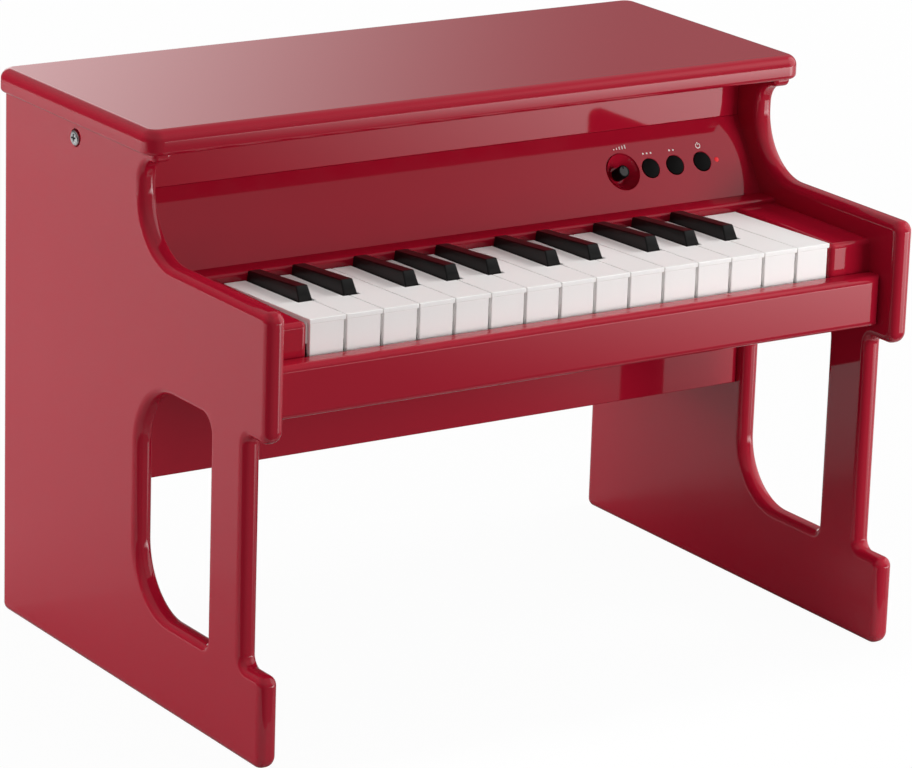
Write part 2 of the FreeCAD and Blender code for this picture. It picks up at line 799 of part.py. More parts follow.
def make_knob():
    """Volume knob in its dish, with a pointer slot on top and a shaft into the control behind."""
    floor = dish_depth - knob_floor_gap
    body = panel_bar(knob_radius, dish_x, control_line, -knob_proud, floor)
    top = on_panel(dish_x, control_line, -knob_proud)
    rim = [edge for edge in body.Edges if edge.BoundBox.DiagonalLength > knob_radius
           and (edge.CenterOfMass - top).Length < knob_edge]
    body = body.makeChamfer(knob_edge, rim)
    pointer = panel_box(dish_x - knob_pointer_width / 2, dish_x + knob_pointer_width / 2, control_line,
                        control_line + knob_radius, -knob_proud, knob_pointer_depth - knob_proud)
    shaft = panel_bar(knob_shaft_radius, dish_x, control_line, floor, panel_thickness + knob_shaft_reach)
    return fused([body.cut(pointer), shaft])


def make_pot():
    """Rotary control behind the panel, bored for the knob's shaft."""
    half = pot_width / 2
    body = panel_box(dish_x - half, dish_x + half, control_line - half, control_line + half,
                     panel_thickness, panel_thickness + pot_depth)
    return body.cut(panel_bar(knob_shaft_radius + knob_shaft_clearance, dish_x, control_line,
                              panel_thickness, panel_thickness + knob_shaft_reach + pot_bore_end_gap))


flange_depth = panel_thickness + button_flange_gap
stem_depth = flange_depth + button_flange_thickness
switch_face = stem_depth + button_stem_length + button_travel + switch_gap
control_board_face = switch_face + switch_depth


def make_button(place):
    """Push button with a slightly domed cap, a flange behind the panel and a stem to its switch."""
    cap = domed_bar(button_radius, button_crown, place, control_line, -button_proud, flange_depth)
    flange = panel_bar(button_flange_radius, place, control_line, flange_depth, stem_depth)
    stem = panel_bar(button_stem_radius, place, control_line, stem_depth, stem_depth + button_stem_length)
    return fused([cap, flange, stem])


def make_control_board():
    """Small circuit board behind the buttons with a switch for each, on two posts from the panel."""
    half_switch = switch_width / 2
    left = sound_x - half_switch - control_board_edge
    right = lamp_x + control_board_edge + half_switch
    post_line = control_line + button_flange_radius + control_post_gap + control_post_radius
    pieces = [panel_box(left, right, control_line - half_switch - control_board_edge,
                        post_line + control_post_radius, control_board_face,
                        control_board_face + control_board_thickness)]
    for place in button_places.values():
        pieces.append(panel_box(place - half_switch, place + half_switch, control_line - half_switch,
                                control_line + half_switch, switch_face, control_board_face))
    for x in [left + control_post_radius, right - control_post_radius]:
        pieces.append(panel_bar(control_post_radius, x, post_line, panel_thickness, control_board_face))
    return fused(pieces)


def make_lamp():
    """Indicator lamp through the panel, standing on the control board."""
    return domed_bar(lamp_radius, lamp_crown, lamp_x, control_line, -lamp_proud, control_board_face)


# Battery compartment from the size of its cells, and the main board midway between it and the left side
cell_step = 2 * cell_radius + cell_gap
cell_span = cell_length + cell_nub_length + cell_gap
battery_half_x = cell_rows * cell_span / 2 + cell_gap
battery_half_y = cells_per_row * cell_step / 2
door_top = body_bottom + battery_door_thickness
cell_z = door_top + cell_gap + cell_radius
battery_top = cell_z + cell_radius + cell_gap
battery_reach = battery_half_x + battery_wall + battery_flange_width
main_board_x = (battery_x - battery_reach - side_inner) / 2


def battery_block(grow, z0, z1):
    """Block about the battery compartment, grown all round in plan."""
    return box(battery_x - battery_half_x - grow, battery_x + battery_half_x + grow,
               bottom_board_middle - battery_half_y - grow, bottom_board_middle + battery_half_y + grow,
               z0, z1)


def make_battery_box():
    """Compartment open below, hung by its flange in the bottom board."""
    walls = battery_block(battery_wall, door_top, battery_top + battery_wall)
    flange = battery_block(battery_wall + battery_flange_width, bottom_board_top,
                           bottom_board_top + battery_flange_thickness)
    return fused([walls, flange]).cut(battery_block(0, door_top, battery_top))


def make_batteries():
    """Six round cells, each a solid of its own."""
    cells = []
    for row in range(cell_rows):
        x = battery_x + (row - cell_rows / 2) * cell_span + cell_gap / 2
        for column in range(cells_per_row):
            y = bottom_board_middle + (column - (cells_per_row - 1) / 2) * cell_step
            cells.append(fused([cylinder_x(cell_radius, x, x + cell_length, y, cell_z),
                                cylinder_x(cell_nub_radius, x + cell_length,
                                           x + cell_length + cell_nub_length, y, cell_z)]))
    return Part.makeCompound(cells)


def make_bottom_board():
    """Bottom of the body with the cut-out for the battery compartment."""
    board = box(-side_inner, side_inner, lower_panel_rear, rear_panel_front,
                body_bottom, bottom_board_top)
    board = board.cut(battery_block(battery_wall + battery_fit_gap, body_bottom, bottom_board_top))
    for seat in rear_screw_seats:
        board = board.cut(screw_hole(seat, rear_screw_way))
    return board


def make_main_board():
    """Main circuit board standing on four posts on the bottom board."""
    half_x = main_board_length / 2
    half_y = main_board_width / 2
    low = bottom_board_top + main_board_lift
    pieces = [box(main_board_x - half_x, main_board_x + half_x, bottom_board_middle - half_y,
                  bottom_board_middle + half_y, low, low + main_board_thickness)]
    for x in [main_board_x - half_x + main_post_inset, main_board_x + half_x - main_post_inset]:
        for offset in [main_post_inset - half_y, half_y - main_post_inset]:
            y = bottom_board_middle + offset
            pieces.append(cylinder_z(main_post_radius, x, y, bottom_board_top, low))
    return fused(pieces)


def make_socket(place, bore_radius, bore_depth):
    """Socket body behind the back board with its bushing through it."""
    outer = rear_panel_rear + jack_bushing_proud
    body = box(place - jack_body_width / 2, place + jack_body_width / 2, rear_panel_front - jack_body_depth,
               rear_panel_front, jack_height - jack_body_height / 2, jack_height + jack_body_height / 2)
    bushing = cylinder_y(jack_bushing_radius, place, rear_panel_front, outer, jack_height)
    bore = cylinder_y(bore_radius, place, outer - bore_depth, outer, jack_height)
    return fused([body, bushing]).cut(bore)


def make_power_inlet():
    """Round power inlet with its centre pin."""
    outer = rear_panel_rear + jack_bushing_proud
    pin = cylinder_y(inlet_pin_radius, power_inlet_x, outer - inlet_bore_depth, outer - inlet_pin_short,
                     jack_height)
    return fused([make_socket(power_inlet_x, inlet_bore_radius, inlet_bore_depth), pin])


os.makedirs("parts", exist_ok=True)

right_side = make_side()
save("right_side_panel", right_side)
save("left_side_panel", mirrored(right_side))
save("top_lid", make_lid())
save("frieze_board", box(-side_inner, side_inner, frieze_front, frieze_rear, frieze_bottom, side_top))
save("control_panel", make_control_panel())
save("rear_strip", make_strip())
cheek = make_cheek()
save("cheek_blocks", Part.makeCompound([cheek, mirrored(cheek)]))
save("key_slip", make_slip())
save("keybed", box(-side_inner, side_inner, slip_rear, slip_rear + keybed_length,
                   keybed_bottom, keybed_top))
save("lower_front_panel", box(-side_inner, side_inner, lower_panel_front, lower_panel_rear,
                              body_bottom, keybed_bottom))
save("bottom_board", make_bottom_board())
save("rear_panel", make_rear_panel())
save("speaker_deck", make_deck())
save("lid_hinge_fixed_leaves", Part.makeCompound([make_fixed_hinge(x) for x in hinge_places()]))
save("lid_hinge_moving_leaves", Part.makeCompound([make_moving_hinge(x) for x in hinge_places()]))
save("keyboard_tray", make_keyboard_tray())
rod_half = keyboard_half + bracket_gap + bracket_thickness + rod_overhang
save("key_pivot_rod", cylinder_x(pivot_rod_radius, -rod_half, rod_half, pivot_y, pivot_z))
save("key_contact_board", box(-keyboard_half + rubber_end_inset / 2, keyboard_half - rubber_end_inset / 2,
                              contact_y - contact_board_length / 2, contact_y + contact_board_length / 2,
                              tray_top, board_top))
keys = key_layout()
save("key_contact_strip", make_contact_strip(keys))
for key_name, is_black, front_span, back_span in keys:
    save(key_name, make_black_key(back_span) if is_black else make_white_key(front_span, back_span))
save("volume_knob", make_knob())
save("volume_control", make_pot())
for button_name, button_place in button_places.items():
    save(button_name, make_button(button_place))
save("control_board", make_control_board())
save("indicator_lamp", make_lamp())
save("speaker_frame", make_speaker_frame())
save("speaker_cone", make_speaker_cone())
save("main_board", make_main_board())
save("battery_box", make_battery_box())
save("batteries", make_batteries())
save("battery_door", battery_block(battery_wall, body_bottom, door_top))
save("headphone_socket", make_socket(headphone_x, headphone_bore_radius, headphone_bore_depth))
save("power_inlet", make_power_inlet())
screws = [screw(side_screw_seat, side_screw_way)]
screws.append(mirrored(screws[0]))
screws += [screw(seat, rear_screw_way) for seat in rear_screw_seats]
save("cabinet_screws", Part.makeCompound(screws))
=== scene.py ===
import bpy
import bmesh
import math
from mathutils import Matrix, Vector


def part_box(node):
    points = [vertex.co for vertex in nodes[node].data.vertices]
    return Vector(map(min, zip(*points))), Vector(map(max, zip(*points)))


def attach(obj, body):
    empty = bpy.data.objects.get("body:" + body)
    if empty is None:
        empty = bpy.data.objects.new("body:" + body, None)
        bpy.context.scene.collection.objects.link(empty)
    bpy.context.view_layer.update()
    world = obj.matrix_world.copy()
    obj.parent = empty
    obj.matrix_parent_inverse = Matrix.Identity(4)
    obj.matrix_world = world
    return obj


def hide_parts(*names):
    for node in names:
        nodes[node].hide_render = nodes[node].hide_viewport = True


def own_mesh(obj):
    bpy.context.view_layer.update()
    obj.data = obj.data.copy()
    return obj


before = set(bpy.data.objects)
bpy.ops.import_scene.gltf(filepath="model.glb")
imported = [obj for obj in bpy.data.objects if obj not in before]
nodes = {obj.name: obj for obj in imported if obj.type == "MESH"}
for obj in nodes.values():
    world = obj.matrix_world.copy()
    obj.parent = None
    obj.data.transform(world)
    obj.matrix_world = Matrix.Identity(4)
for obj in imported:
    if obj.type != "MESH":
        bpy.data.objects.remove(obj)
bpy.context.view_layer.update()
scene = bpy.context.scene
scene.view_settings.view_transform = "Standard"
mm = 0.001  # the part's sizes are in millimetres, x along the keys, y to the back, z up
print("frame loaded:", len(nodes), "nodes")

# camera, in metres, fitted to the photo's straight edges
photoCamera = dict(lens=181.88, sensor=36.0,
                   place=(-1.331181, -2.007121, 0.869529),
                   right=(0.8376119, -0.5453338, 0.0318972),
                   up=(0.1326837, 0.2597450, 0.9565185),
                   ahead=(0.5299070, 0.7969590, -0.2899224))


def setCamera(sizes):
    bpy.ops.object.camera_add()
    camera = bpy.context.object
    camera.name = "photoCamera"
    camera.data.lens = sizes["lens"]
    camera.data.sensor_width = sizes["sensor"]
    camera.data.sensor_fit = "HORIZONTAL"
    turn = Matrix((sizes["right"], sizes["up"], -Vector(sizes["ahead"]))).transposed().to_4x4()
    camera.matrix_world = Matrix.Translation(sizes["place"]) @ turn
    scene.camera = camera


setCamera(photoCamera)
print("camera set")

# tolerances of the picking tests, in millimetres, degrees and shares
slack = 0.02
near = 0.1
weld = 0.002
rimSlack = 0.05
broadFace = 100.0  # square millimetres
flatAngle = 0.5
softAngle = 20
sharpAngle = 30
smoothAngle = 35
cornerAngle = 60
facing = 0.9
squareness = 0.99999


# modelling steps, as by hand
def startClean():
    active = bpy.context.view_layer.objects.active
    if active and active.mode != "OBJECT":
        bpy.ops.object.mode_set(mode="OBJECT")
    bpy.ops.object.select_all(action="DESELECT")


def openPiece(piece):
    startClean()
    piece.select_set(True)
    bpy.context.view_layer.objects.active = piece


def editPiece(piece, mode):
    openPiece(piece)
    bpy.ops.object.mode_set(mode="EDIT")
    bpy.ops.mesh.select_mode(type=mode)
    bpy.ops.mesh.select_all(action="DESELECT")
    return bmesh.from_edit_mesh(piece.data)


def closePiece():
    bpy.ops.object.mode_set(mode="OBJECT")


def dropPiece(piece):
    bpy.data.objects.remove(piece, do_unlink=True)


def applyPlace():
    bpy.ops.object.transform_apply(location=True, rotation=True, scale=True)


def addBlock(name, low, high):
    startClean()
    low = Vector(low) * mm
    high = Vector(high) * mm
    bpy.ops.mesh.primitive_cube_add(size=1, location=(low + high) / 2, scale=high - low)
    piece = bpy.context.object
    piece.name = name
    applyPlace()
    return piece


def addBar(name, radius, start, end, sides):  # round bar between two points
    startClean()
    start = Vector(start) * mm
    end = Vector(end) * mm
    run = end - start
    bpy.ops.mesh.primitive_cylinder_add(vertices=sides, radius=radius * mm, depth=run.length)
    piece = bpy.context.object
    piece.name = name
    turn = run.to_track_quat("Z", "Y").to_matrix().to_4x4()
    piece.matrix_world = Matrix.Translation((start + end) / 2) @ turn
    applyPlace()
    return piece


def pickParts(piece, parts):
    for part in parts:
        part.select_set(True)
    bmesh.update_edit_mesh(piece.data)
    return len(parts)


def pickFaces(piece, test):  # test gets the face's middle in millimetres and its normal
    faces = editPiece(piece, "FACE").faces
    return pickParts(piece, [face for face in faces if test(face.calc_center_median() / mm, face.normal)])


def pickEdges(piece, test):
    return pickParts(piece, [edge for edge in editPiece(piece, "EDGE").edges if test(edge)])


def lies(edge, **spots):  # the whole edge lies at these values of its axes
    return all(abs(getattr(vert.co, axis) / mm - value) < slack
               for vert in edge.verts for axis, value in spots.items())


def runsAlong(edge, axis):
    run = (edge.verts[1].co - edge.verts[0].co) / mm
    return all(abs(getattr(run, other)) < slack for other in "xyz" if other != axis)


def sharp(edge, angle=sharpAngle):
    return edge.calc_face_angle(0.0) > math.radians(angle)


def middle(edge):
    return (edge.verts[0].co + edge.verts[1].co) / (2 * mm)


def boxOf(node):  # a node's corners in millimetres
    low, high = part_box(node)
    return low / mm, high / mm


def bevelEdges(piece, test, width, steps):
    if pickEdges(piece, test) == 0:
        print("no edge to bevel on", piece.name)
    bpy.ops.mesh.bevel(offset_type="OFFSET", offset=width * mm, segments=steps, profile=0.5,
                       affect="EDGES", clamp_overlap=False)
    closePiece()


def extrudeFaces(piece, test, shift):
    if pickFaces(piece, test) == 0:
        print("no face to extrude on", piece.name)
    bpy.ops.mesh.extrude_region_move(TRANSFORM_OT_translate={"value": Vector(shift) * mm})
    closePiece()


def slicePiece(piece, place, normal, test=lambda place, normal: True):
    pickFaces(piece, test)
    bpy.ops.mesh.bisect(plane_co=Vector(place) * mm, plane_no=normal, use_fill=False)
    closePiece()


def weldPiece(piece):  # opens the whole piece and closes its seams
    editPiece(piece, "FACE")
    bpy.ops.mesh.select_all(action="SELECT")
    bpy.ops.mesh.remove_doubles(threshold=weld * mm)


def mergeFlat(piece):  # joins faces that lie in one plane
    weldPiece(piece)
    bpy.ops.mesh.dissolve_limited(angle_limit=math.radians(flatAngle))
    closePiece()


def faceOutward(piece):
    weldPiece(piece)
    bpy.ops.mesh.normals_make_consistent(inside=False)
    closePiece()


def cutPiece(piece, tool):
    openPiece(piece)
    bpy.ops.object.modifier_add(type="BOOLEAN")
    step = piece.modifiers[-1]
    step.operation = "DIFFERENCE"
    step.solver = "EXACT"
    step.object = tool
    bpy.ops.object.modifier_apply(modifier=step.name)
    dropPiece(tool)


def cutBlock(piece, low, high):
    cutPiece(piece, addBlock("cutter", low, high))


def drillPiece(piece, radius, start, end, sides=48):
    cutPiece(piece, addBar("cutter", radius, start, end, sides))


def turnPiece(name, profile, sides, hollow=False):  # (radius, height) steps about the z axis
    startClean()
    radius, height = profile[0]
    bpy.ops.mesh.primitive_circle_add(vertices=sides, radius=radius * mm, location=(0, 0, height * mm),
                                      fill_type="NOTHING" if hollow else "NGON")
    piece = bpy.context.object
    piece.name = name
    applyPlace()
    bpy.ops.object.mode_set(mode="EDIT")
    bpy.ops.mesh.select_all(action="SELECT")
    for step in profile[1:]:
        bpy.ops.mesh.extrude_region_move(TRANSFORM_OT_translate={"value": (0, 0, (step[1] - height) * mm)})
        grow = step[0] / radius
        bpy.ops.transform.resize(value=(grow, grow, 1), center_override=(0, 0, step[1] * mm))
        radius, height = step
    closePiece()
    faceOutward(piece)
    return piece


def roundedTop(radius, height, bend, steps):  # profile steps over a rounded upper edge
    points = []
    for step in range(1, steps + 1):
        angle = math.radians(90 * step / steps)
        points.append((radius - bend * (1 - math.cos(angle)), height - bend * (1 - math.sin(angle))))
    return points


def placePiece(piece, place, turn=(0, 0, 0)):
    openPiece(piece)
    piece.location = Vector(place) * mm
    piece.rotation_euler = [math.radians(angle) for angle in turn]
    applyPlace()
    return piece


def copyPiece(piece, name, shift=(0, 0, 0)):
    openPiece(piece)
    bpy.ops.object.duplicate(linked=False)
    twin = bpy.context.object
    twin.name = name
    twin.location = Vector(shift) * mm
    applyPlace()
    return twin


def mirrorPiece(piece, name):
    twin = copyPiece(piece, name)
    twin.scale = (-1, 1, 1)
    applyPlace()
    faceOutward(twin)
    return twin


def joinPieces(pieces, name):
    openPiece(pieces[0])
    for piece in pieces:
        piece.select_set(True)
    bpy.ops.object.join()
    pieces[0].name = name
    return pieces[0]


def markFlats(piece):  # flat faces keep their own normals next to rounded edges
    mesh = editPiece(piece, "FACE")
    for face in mesh.faces:
        square = max(abs(part) for part in face.normal) > squareness
        face.select_set(square or face.calc_area() > broadFace * mm * mm)
    bmesh.update_edit_mesh(piece.data)
    bpy.ops.mesh.mod_weighted_strength(set=True, face_strength="STRONG")
    closePiece()


def finishPiece(piece, body, finish, node=None, angle=smoothAngle):
    markFlats(piece)
    openPiece(piece)
    bpy.ops.object.shade_smooth_by_angle(angle=math.radians(angle))
    bpy.ops.object.modifier_add(type="WEIGHTED_NORMAL")
    piece.modifiers[-1].keep_sharp = True
    piece.modifiers[-1].use_face_influence = True
    bpy.ops.object.modifier_apply(modifier=piece.modifiers[-1].name)
    piece.data.materials.append(finish)
    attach(piece, body)
    if node:
        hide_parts(node)
    return piece


def finishRed(piece, node):
    finishPiece(piece, "cabinet", redLacquer, node)


def finishDark(piece, node):
    finishPiece(piece, "cabinet", darkRed, node)


def paintFaces(piece, finish, test):
    piece.data.materials.append(finish)
    place = len(piece.data.materials) - 1
    for face in piece.data.polygons:
        if test(face.center / mm, face.normal):
            face.material_index = place


# finishes: a tone, a gloss and a relief, each driven by noise
noise = dict(low=0.3, high=0.7, detail=3, grainDetail=2)


def setSockets(tree, node, sockets):  # a socket takes a value, or a link from another node
    for name, value in sockets.items():
        if isinstance(value, bpy.types.NodeSocket):
            tree.links.new(value, node.inputs[name])
        else:
            node.inputs[name].default_value = value


def addNode(tree, kind, sockets=None, **settings):
    node = tree.nodes.new("ShaderNode" + kind)
    for name, value in settings.items():
        setattr(node, name, value)
    setSockets(tree, node, sockets or {})
    return node


def newFinish(name, sockets):
    finish = bpy.data.materials.new(name)
    finish.use_nodes = True
    tree = finish.node_tree
    shader = tree.nodes["Principled BSDF"]
    setSockets(tree, shader, sockets)
    return finish, tree, shader


def addNoise(tree, scale, detail=noise["detail"], stretch=(1, 1, 1)):
    place = addNode(tree, "TexCoord").outputs["Object"]
    spot = addNode(tree, "Mapping", {"Vector": place, "Scale": stretch}).outputs["Vector"]
    return addNode(tree, "TexNoise", {"Vector": spot, "Scale": scale, "Detail": detail}).outputs["Fac"]


def addTone(tree, shader, pattern, low, high):  # colour drifts from low to high
    ramp = addNode(tree, "ValToRGB", {"Fac": pattern})
    start, end = ramp.color_ramp.elements
    start.position = noise["low"]
    start.color = (*low, 1)
    end.position = noise["high"]
    end.color = (*high, 1)
    setSockets(tree, shader, {"Base Color": ramp.outputs["Color"]})


def addGloss(tree, shader, pattern, gloss):  # gloss is the least and the most roughness
    spread = addNode(tree, "MapRange", {
        "Value": pattern, "From Min": noise["low"], "From Max": noise["high"],
        "To Min": gloss[0], "To Max": gloss[1]})
    setSockets(tree, shader, {"Roughness": spread.outputs["Result"]})


def addRelief(tree, shader, pattern, strength, depth):
    bump = addNode(tree, "Bump", {"Height": pattern, "Strength": strength, "Distance": depth * mm})
    setSockets(tree, shader, {"Normal": bump.outputs["Normal"]})


lacquer = dict(low=(0.343, 0.0054, 0.0206), high=(0.349, 0.0057, 0.0213), toneScale=9, gloss=(0.44, 0.48),
               glossScale=70, grain=900, relief=0.05, depth=0.01, coatRoughness=0.045, coatIor=1.5)


def makeLacquer():
    s = lacquer
    finish, tree, shader = newFinish("redLacquer", {
        "Specular IOR Level": 0.0, "Coat Weight": 1.0, "Coat Roughness": s["coatRoughness"],
        "Coat IOR": s["coatIor"]})
    addTone(tree, shader, addNoise(tree, s["toneScale"]), s["low"], s["high"])
    addGloss(tree, shader, addNoise(tree, s["glossScale"]), s["gloss"])
    addRelief(tree, shader, addNoise(tree, s["grain"], noise["grainDetail"]), s["relief"], s["depth"])
    return finish


plain = dict(toneScale=14, glossCoarser=3, relief=0.25)


def makePlain(name, low, high, gloss, grain, depth=0, specular=0.5):
    s = plain
    finish, tree, shader = newFinish(name, {"Specular IOR Level": specular})
    addTone(tree, shader, addNoise(tree, s["toneScale"]), low, high)
    addGloss(tree, shader, addNoise(tree, grain / s["glossCoarser"]), gloss)
    if depth > 0:
        addRelief(tree, shader, addNoise(tree, grain, noise["grainDetail"]), s["relief"], depth)
    return finish


brushed = dict(grain=900, relief=0.15, depth=0.02)


def makeBrushed(name, low, high, gloss, stretch):
    s = brushed
    finish, tree, shader = newFinish(name, {"Metallic": 1.0})
    lines = addNoise(tree, s["grain"], noise["grainDetail"], stretch)
    addTone(tree, shader, lines, low, high)
    addGloss(tree, shader, lines, gloss)
    addRelief(tree, shader, lines, s["relief"], s["depth"])
    return finish


circuit = dict(specular=0.6, traceScale=90.0, traceWidth=0.035, mask=(0.012, 0.09, 0.03, 1),
               paleMask=(0.015, 0.11, 0.035, 1), trace=(0.05, 0.24, 0.08, 1), gloss=(0.3, 0.42),
               glossScale=120, relief=0.3, depth=0.05)


def makeCircuit():  # circuit board with traces under the mask
    s = circuit
    finish, tree, shader = newFinish("circuitBoard", {"Specular IOR Level": s["specular"]})
    place = addNode(tree, "TexCoord").outputs["Object"]
    traces = addNode(tree, "TexBrick", {
        "Vector": place, "Scale": s["traceScale"], "Mortar Size": s["traceWidth"],
        "Color1": s["mask"], "Color2": s["paleMask"], "Mortar": s["trace"]})
    setSockets(tree, shader, {"Base Color": traces.outputs["Color"]})
    addGloss(tree, shader, addNoise(tree, s["glossScale"]), s["gloss"])
    addRelief(tree, shader, traces.outputs["Fac"], s["relief"], s["depth"])
    return finish


lens = dict(roughness=0.18, glowColour=(1.0, 0.03, 0.05, 1), glow=0.25, toneScale=600,
            low=(0.6, 0.015, 0.02), high=(0.7, 0.03, 0.035))


def makeLampRed():
    s = lens
    finish, tree, shader = newFinish("redLamp", {
        "Roughness": s["roughness"], "Emission Color": s["glowColour"], "Emission Strength": s["glow"]})
    addTone(tree, shader, addNoise(tree, s["toneScale"]), s["low"], s["high"])
    return finish


# after the name: two tones, the roughness, then the grain and its depth, or its stretch
redLacquer = makeLacquer()
darkRed = makePlain("darkRedBoard", (0.12, 0.006, 0.008), (0.16, 0.009, 0.011), (0.5, 0.62), 420, 0.05)
whiteKey = makePlain("whiteKeyPlastic", (0.862, 0.85, 0.838), (0.872, 0.86, 0.848), (0.28, 0.31),
                     90, specular=0.15)
blackKey = makePlain("blackKeyPlastic", (0.0045, 0.0042, 0.0042), (0.005, 0.0046, 0.0046), (0.3, 0.33),
                     90, specular=0.28)
trayGrey = makePlain("trayPlastic", (0.05, 0.05, 0.055), (0.065, 0.065, 0.07), (0.5, 0.62), 900, 0.04)
controlBlack = makePlain("controlBlack", (0.0045, 0.0045, 0.0045), (0.0055, 0.0055, 0.0055), (0.42, 0.46),
                         300, specular=0.06)
controlGrey = makePlain("controlGrey", (0.055, 0.055, 0.055), (0.065, 0.065, 0.065), (0.4, 0.46),
                        300, specular=0.2)
controlCase = makePlain("controlCase", (0.03, 0.03, 0.035), (0.05, 0.05, 0.055), (0.4, 0.5), 900, 0.03)
lampRed = makeLampRed()
rubberGrey = makePlain("contactRubber", (0.28, 0.28, 0.29), (0.33, 0.33, 0.34), (0.65, 0.8), 1200, 0.03)
batteryBlack = makePlain("batteryPlastic", (0.018, 0.018, 0.02), (0.028, 0.028, 0.03), (0.45, 0.6),
                         1500, 0.05)
cellSleeve = makePlain("cellSleeve", (0.03, 0.10, 0.32), (0.05, 0.13, 0.38), (0.25, 0.35), 500, 0.01)
socketBlack = makePlain("socketPlastic", (0.012, 0.012, 0.013), (0.02, 0.02, 0.021), (0.32, 0.42), 1500, 0.02)
conePaper = makePlain("conePaper", (0.016, 0.015, 0.014), (0.032, 0.030, 0.028), (0.75, 0.9), 1100, 0.12)
printWhite = makePlain("printWhite", (0.80, 0.77, 0.75), (0.86, 0.83, 0.81), (0.4, 0.5), 1500, 0.005)
screwSteel = makeBrushed("screwSteel", (0.52, 0.52, 0.53), (0.68, 0.68, 0.69), (0.22, 0.34), (1, 0.15, 1))
hingeSteel = makeBrushed("hingeSteel", (0.48, 0.47, 0.45), (0.60, 0.59, 0.57), (0.28, 0.42), (0.1, 1, 1))
rodSteel = makeBrushed("rodSteel", (0.5, 0.5, 0.5), (0.62, 0.62, 0.62), (0.25, 0.4), (0.05, 1, 1))
speakerSteel = makeBrushed("speakerSteel", (0.30, 0.30, 0.31), (0.40, 0.40, 0.41), (0.35, 0.5), (1, 1, 0.3))
circuitBoard = makeCircuit()
print("finishes made")

# side panels
side = dict(inner=191.5, outer=202.9, front=-141.5, rear=138.5, top=295.8, footTop=50.3, legFront=-119.9,
            armBottom=172.8, armTop=241.6, waist=-11.5, hornBottom=291.7, hornFront=-25.8,
            shoulderRound=34.0, coveRound=11.0, legRound=5.0, heelRound=5.0, toeRound=7.0, footRound=5.5,
            armFootRound=7.0, armTopRound=6.0, hornRound=3.2, windowFront=-85.5, windowRear=-11.3,
            windowRound=35.0, windowFootRound=4.0, windowTopRound=9.0, leastSteps=8, stepLength=1.6,
            rimRound=4.9, rimSteps=8, hornShare=0.62, cutAside=3.0, cutAhead=9.0, cutUnder=2.0,
            screwY=56.8, screwZ=287.4, counterbore=5.0, counterboreDepth=1.4, boreOut=5.0)


def alongX(y, z):  # edges that run across the board at this corner
    return lambda edge: lies(edge, y=y, z=z)


def roundRims(board):  # full rims all round, slighter at the small horn under the lid
    s = side
    mesh = editPiece(board, "EDGE")
    share = mesh.edges.layers.float.new("bevel_weight_edge")
    for edge in mesh.edges:
        onFace = lies(edge, x=s["inner"]) or lies(edge, x=s["outer"])
        if onFace and sharp(edge, cornerAngle) and not lies(edge, z=s["top"]):
            rise = (middle(edge).z - s["hornBottom"] + s["coveRound"]) / s["coveRound"]
            ahead = middle(edge).y < s["waist"] + near
            edge[share] = 1 - (1 - s["hornShare"]) * min(max(rise, 0), 1) * ahead
    bmesh.update_edit_mesh(board.data)
    closePiece()
    bpy.ops.object.modifier_add(type="BEVEL")
    step = board.modifiers[-1]
    step.limit_method = "WEIGHT"
    step.offset_type = "OFFSET"
    step.width = s["rimRound"] * mm
    step.segments = s["rimSteps"]
    step.use_clamp_overlap = False
    step.loop_slide = False
    bpy.ops.object.modifier_apply(modifier=step.name)


def makeSide(name):
    s = side
    board = addBlock(name, (s["inner"], s["front"], 0), (s["outer"], s["rear"], s["top"]))
    before = s["front"] - s["cutAhead"]

    def cutAway(low, high, rounds=()):
        block = addBlock("cutter", (s["inner"] - s["cutAside"], *low), (s["outer"] + s["cutAside"], *high))
        for y, z, radius in rounds:
            bevelEdges(block, alongX(y, z), radius, max(s["leastSteps"], int(radius / s["stepLength"])))
        cutPiece(board, block)

    cutAway((before, s["footTop"]), (s["legFront"], s["armBottom"]),
            [(s["legFront"], s["footTop"], s["legRound"]), (s["legFront"], s["armBottom"], s["legRound"])])
    cutAway((before, s["armTop"]), (s["waist"], s["hornBottom"]),
            [(s["waist"], s["armTop"], s["shoulderRound"]), (s["waist"], s["hornBottom"], s["coveRound"])])
    cutAway((before, s["hornBottom"] - s["cutUnder"]), (s["hornFront"], s["top"] + s["cutAhead"]))
    cutAway((s["windowFront"], s["footTop"]), (s["windowRear"], s["armBottom"]),
            [(s["windowFront"], s["footTop"], s["windowFootRound"]),
             (s["windowFront"], s["armBottom"], s["windowTopRound"]),
             (s["windowRear"], s["footTop"], s["windowRound"]),
             (s["windowRear"], s["armBottom"], s["windowRound"])])
    mergeFlat(board)
    for y, z, radius in [(s["rear"], 0, s["heelRound"]), (s["front"], 0, s["toeRound"]),
                         (s["front"], s["footTop"], s["footRound"]),
                         (s["front"], s["armBottom"], s["armFootRound"]),
                         (s["front"], s["armTop"], s["armTopRound"]),
                         (s["hornFront"], s["hornBottom"], s["hornRound"])]:
        bevelEdges(board, alongX(y, z), radius, s["leastSteps"])
    roundRims(board)
    drillPiece(board, s["counterbore"], (s["outer"] - s["counterboreDepth"], s["screwY"], s["screwZ"]),
               (s["outer"] + s["boreOut"], s["screwY"], s["screwZ"]))
    return board


rightSide = makeSide("rightSide")
leftSide = mirrorPiece(rightSide, "leftSide")
finishRed(rightSide, "right_side_panel")
finishRed(leftSide, "left_side_panel")
print("side panels made")

# lid
lid = dict(cornerRound=9.5, cornerSteps=14, topRound=6.0, topSteps=10, bottomRound=2.5, bottomSteps=5)


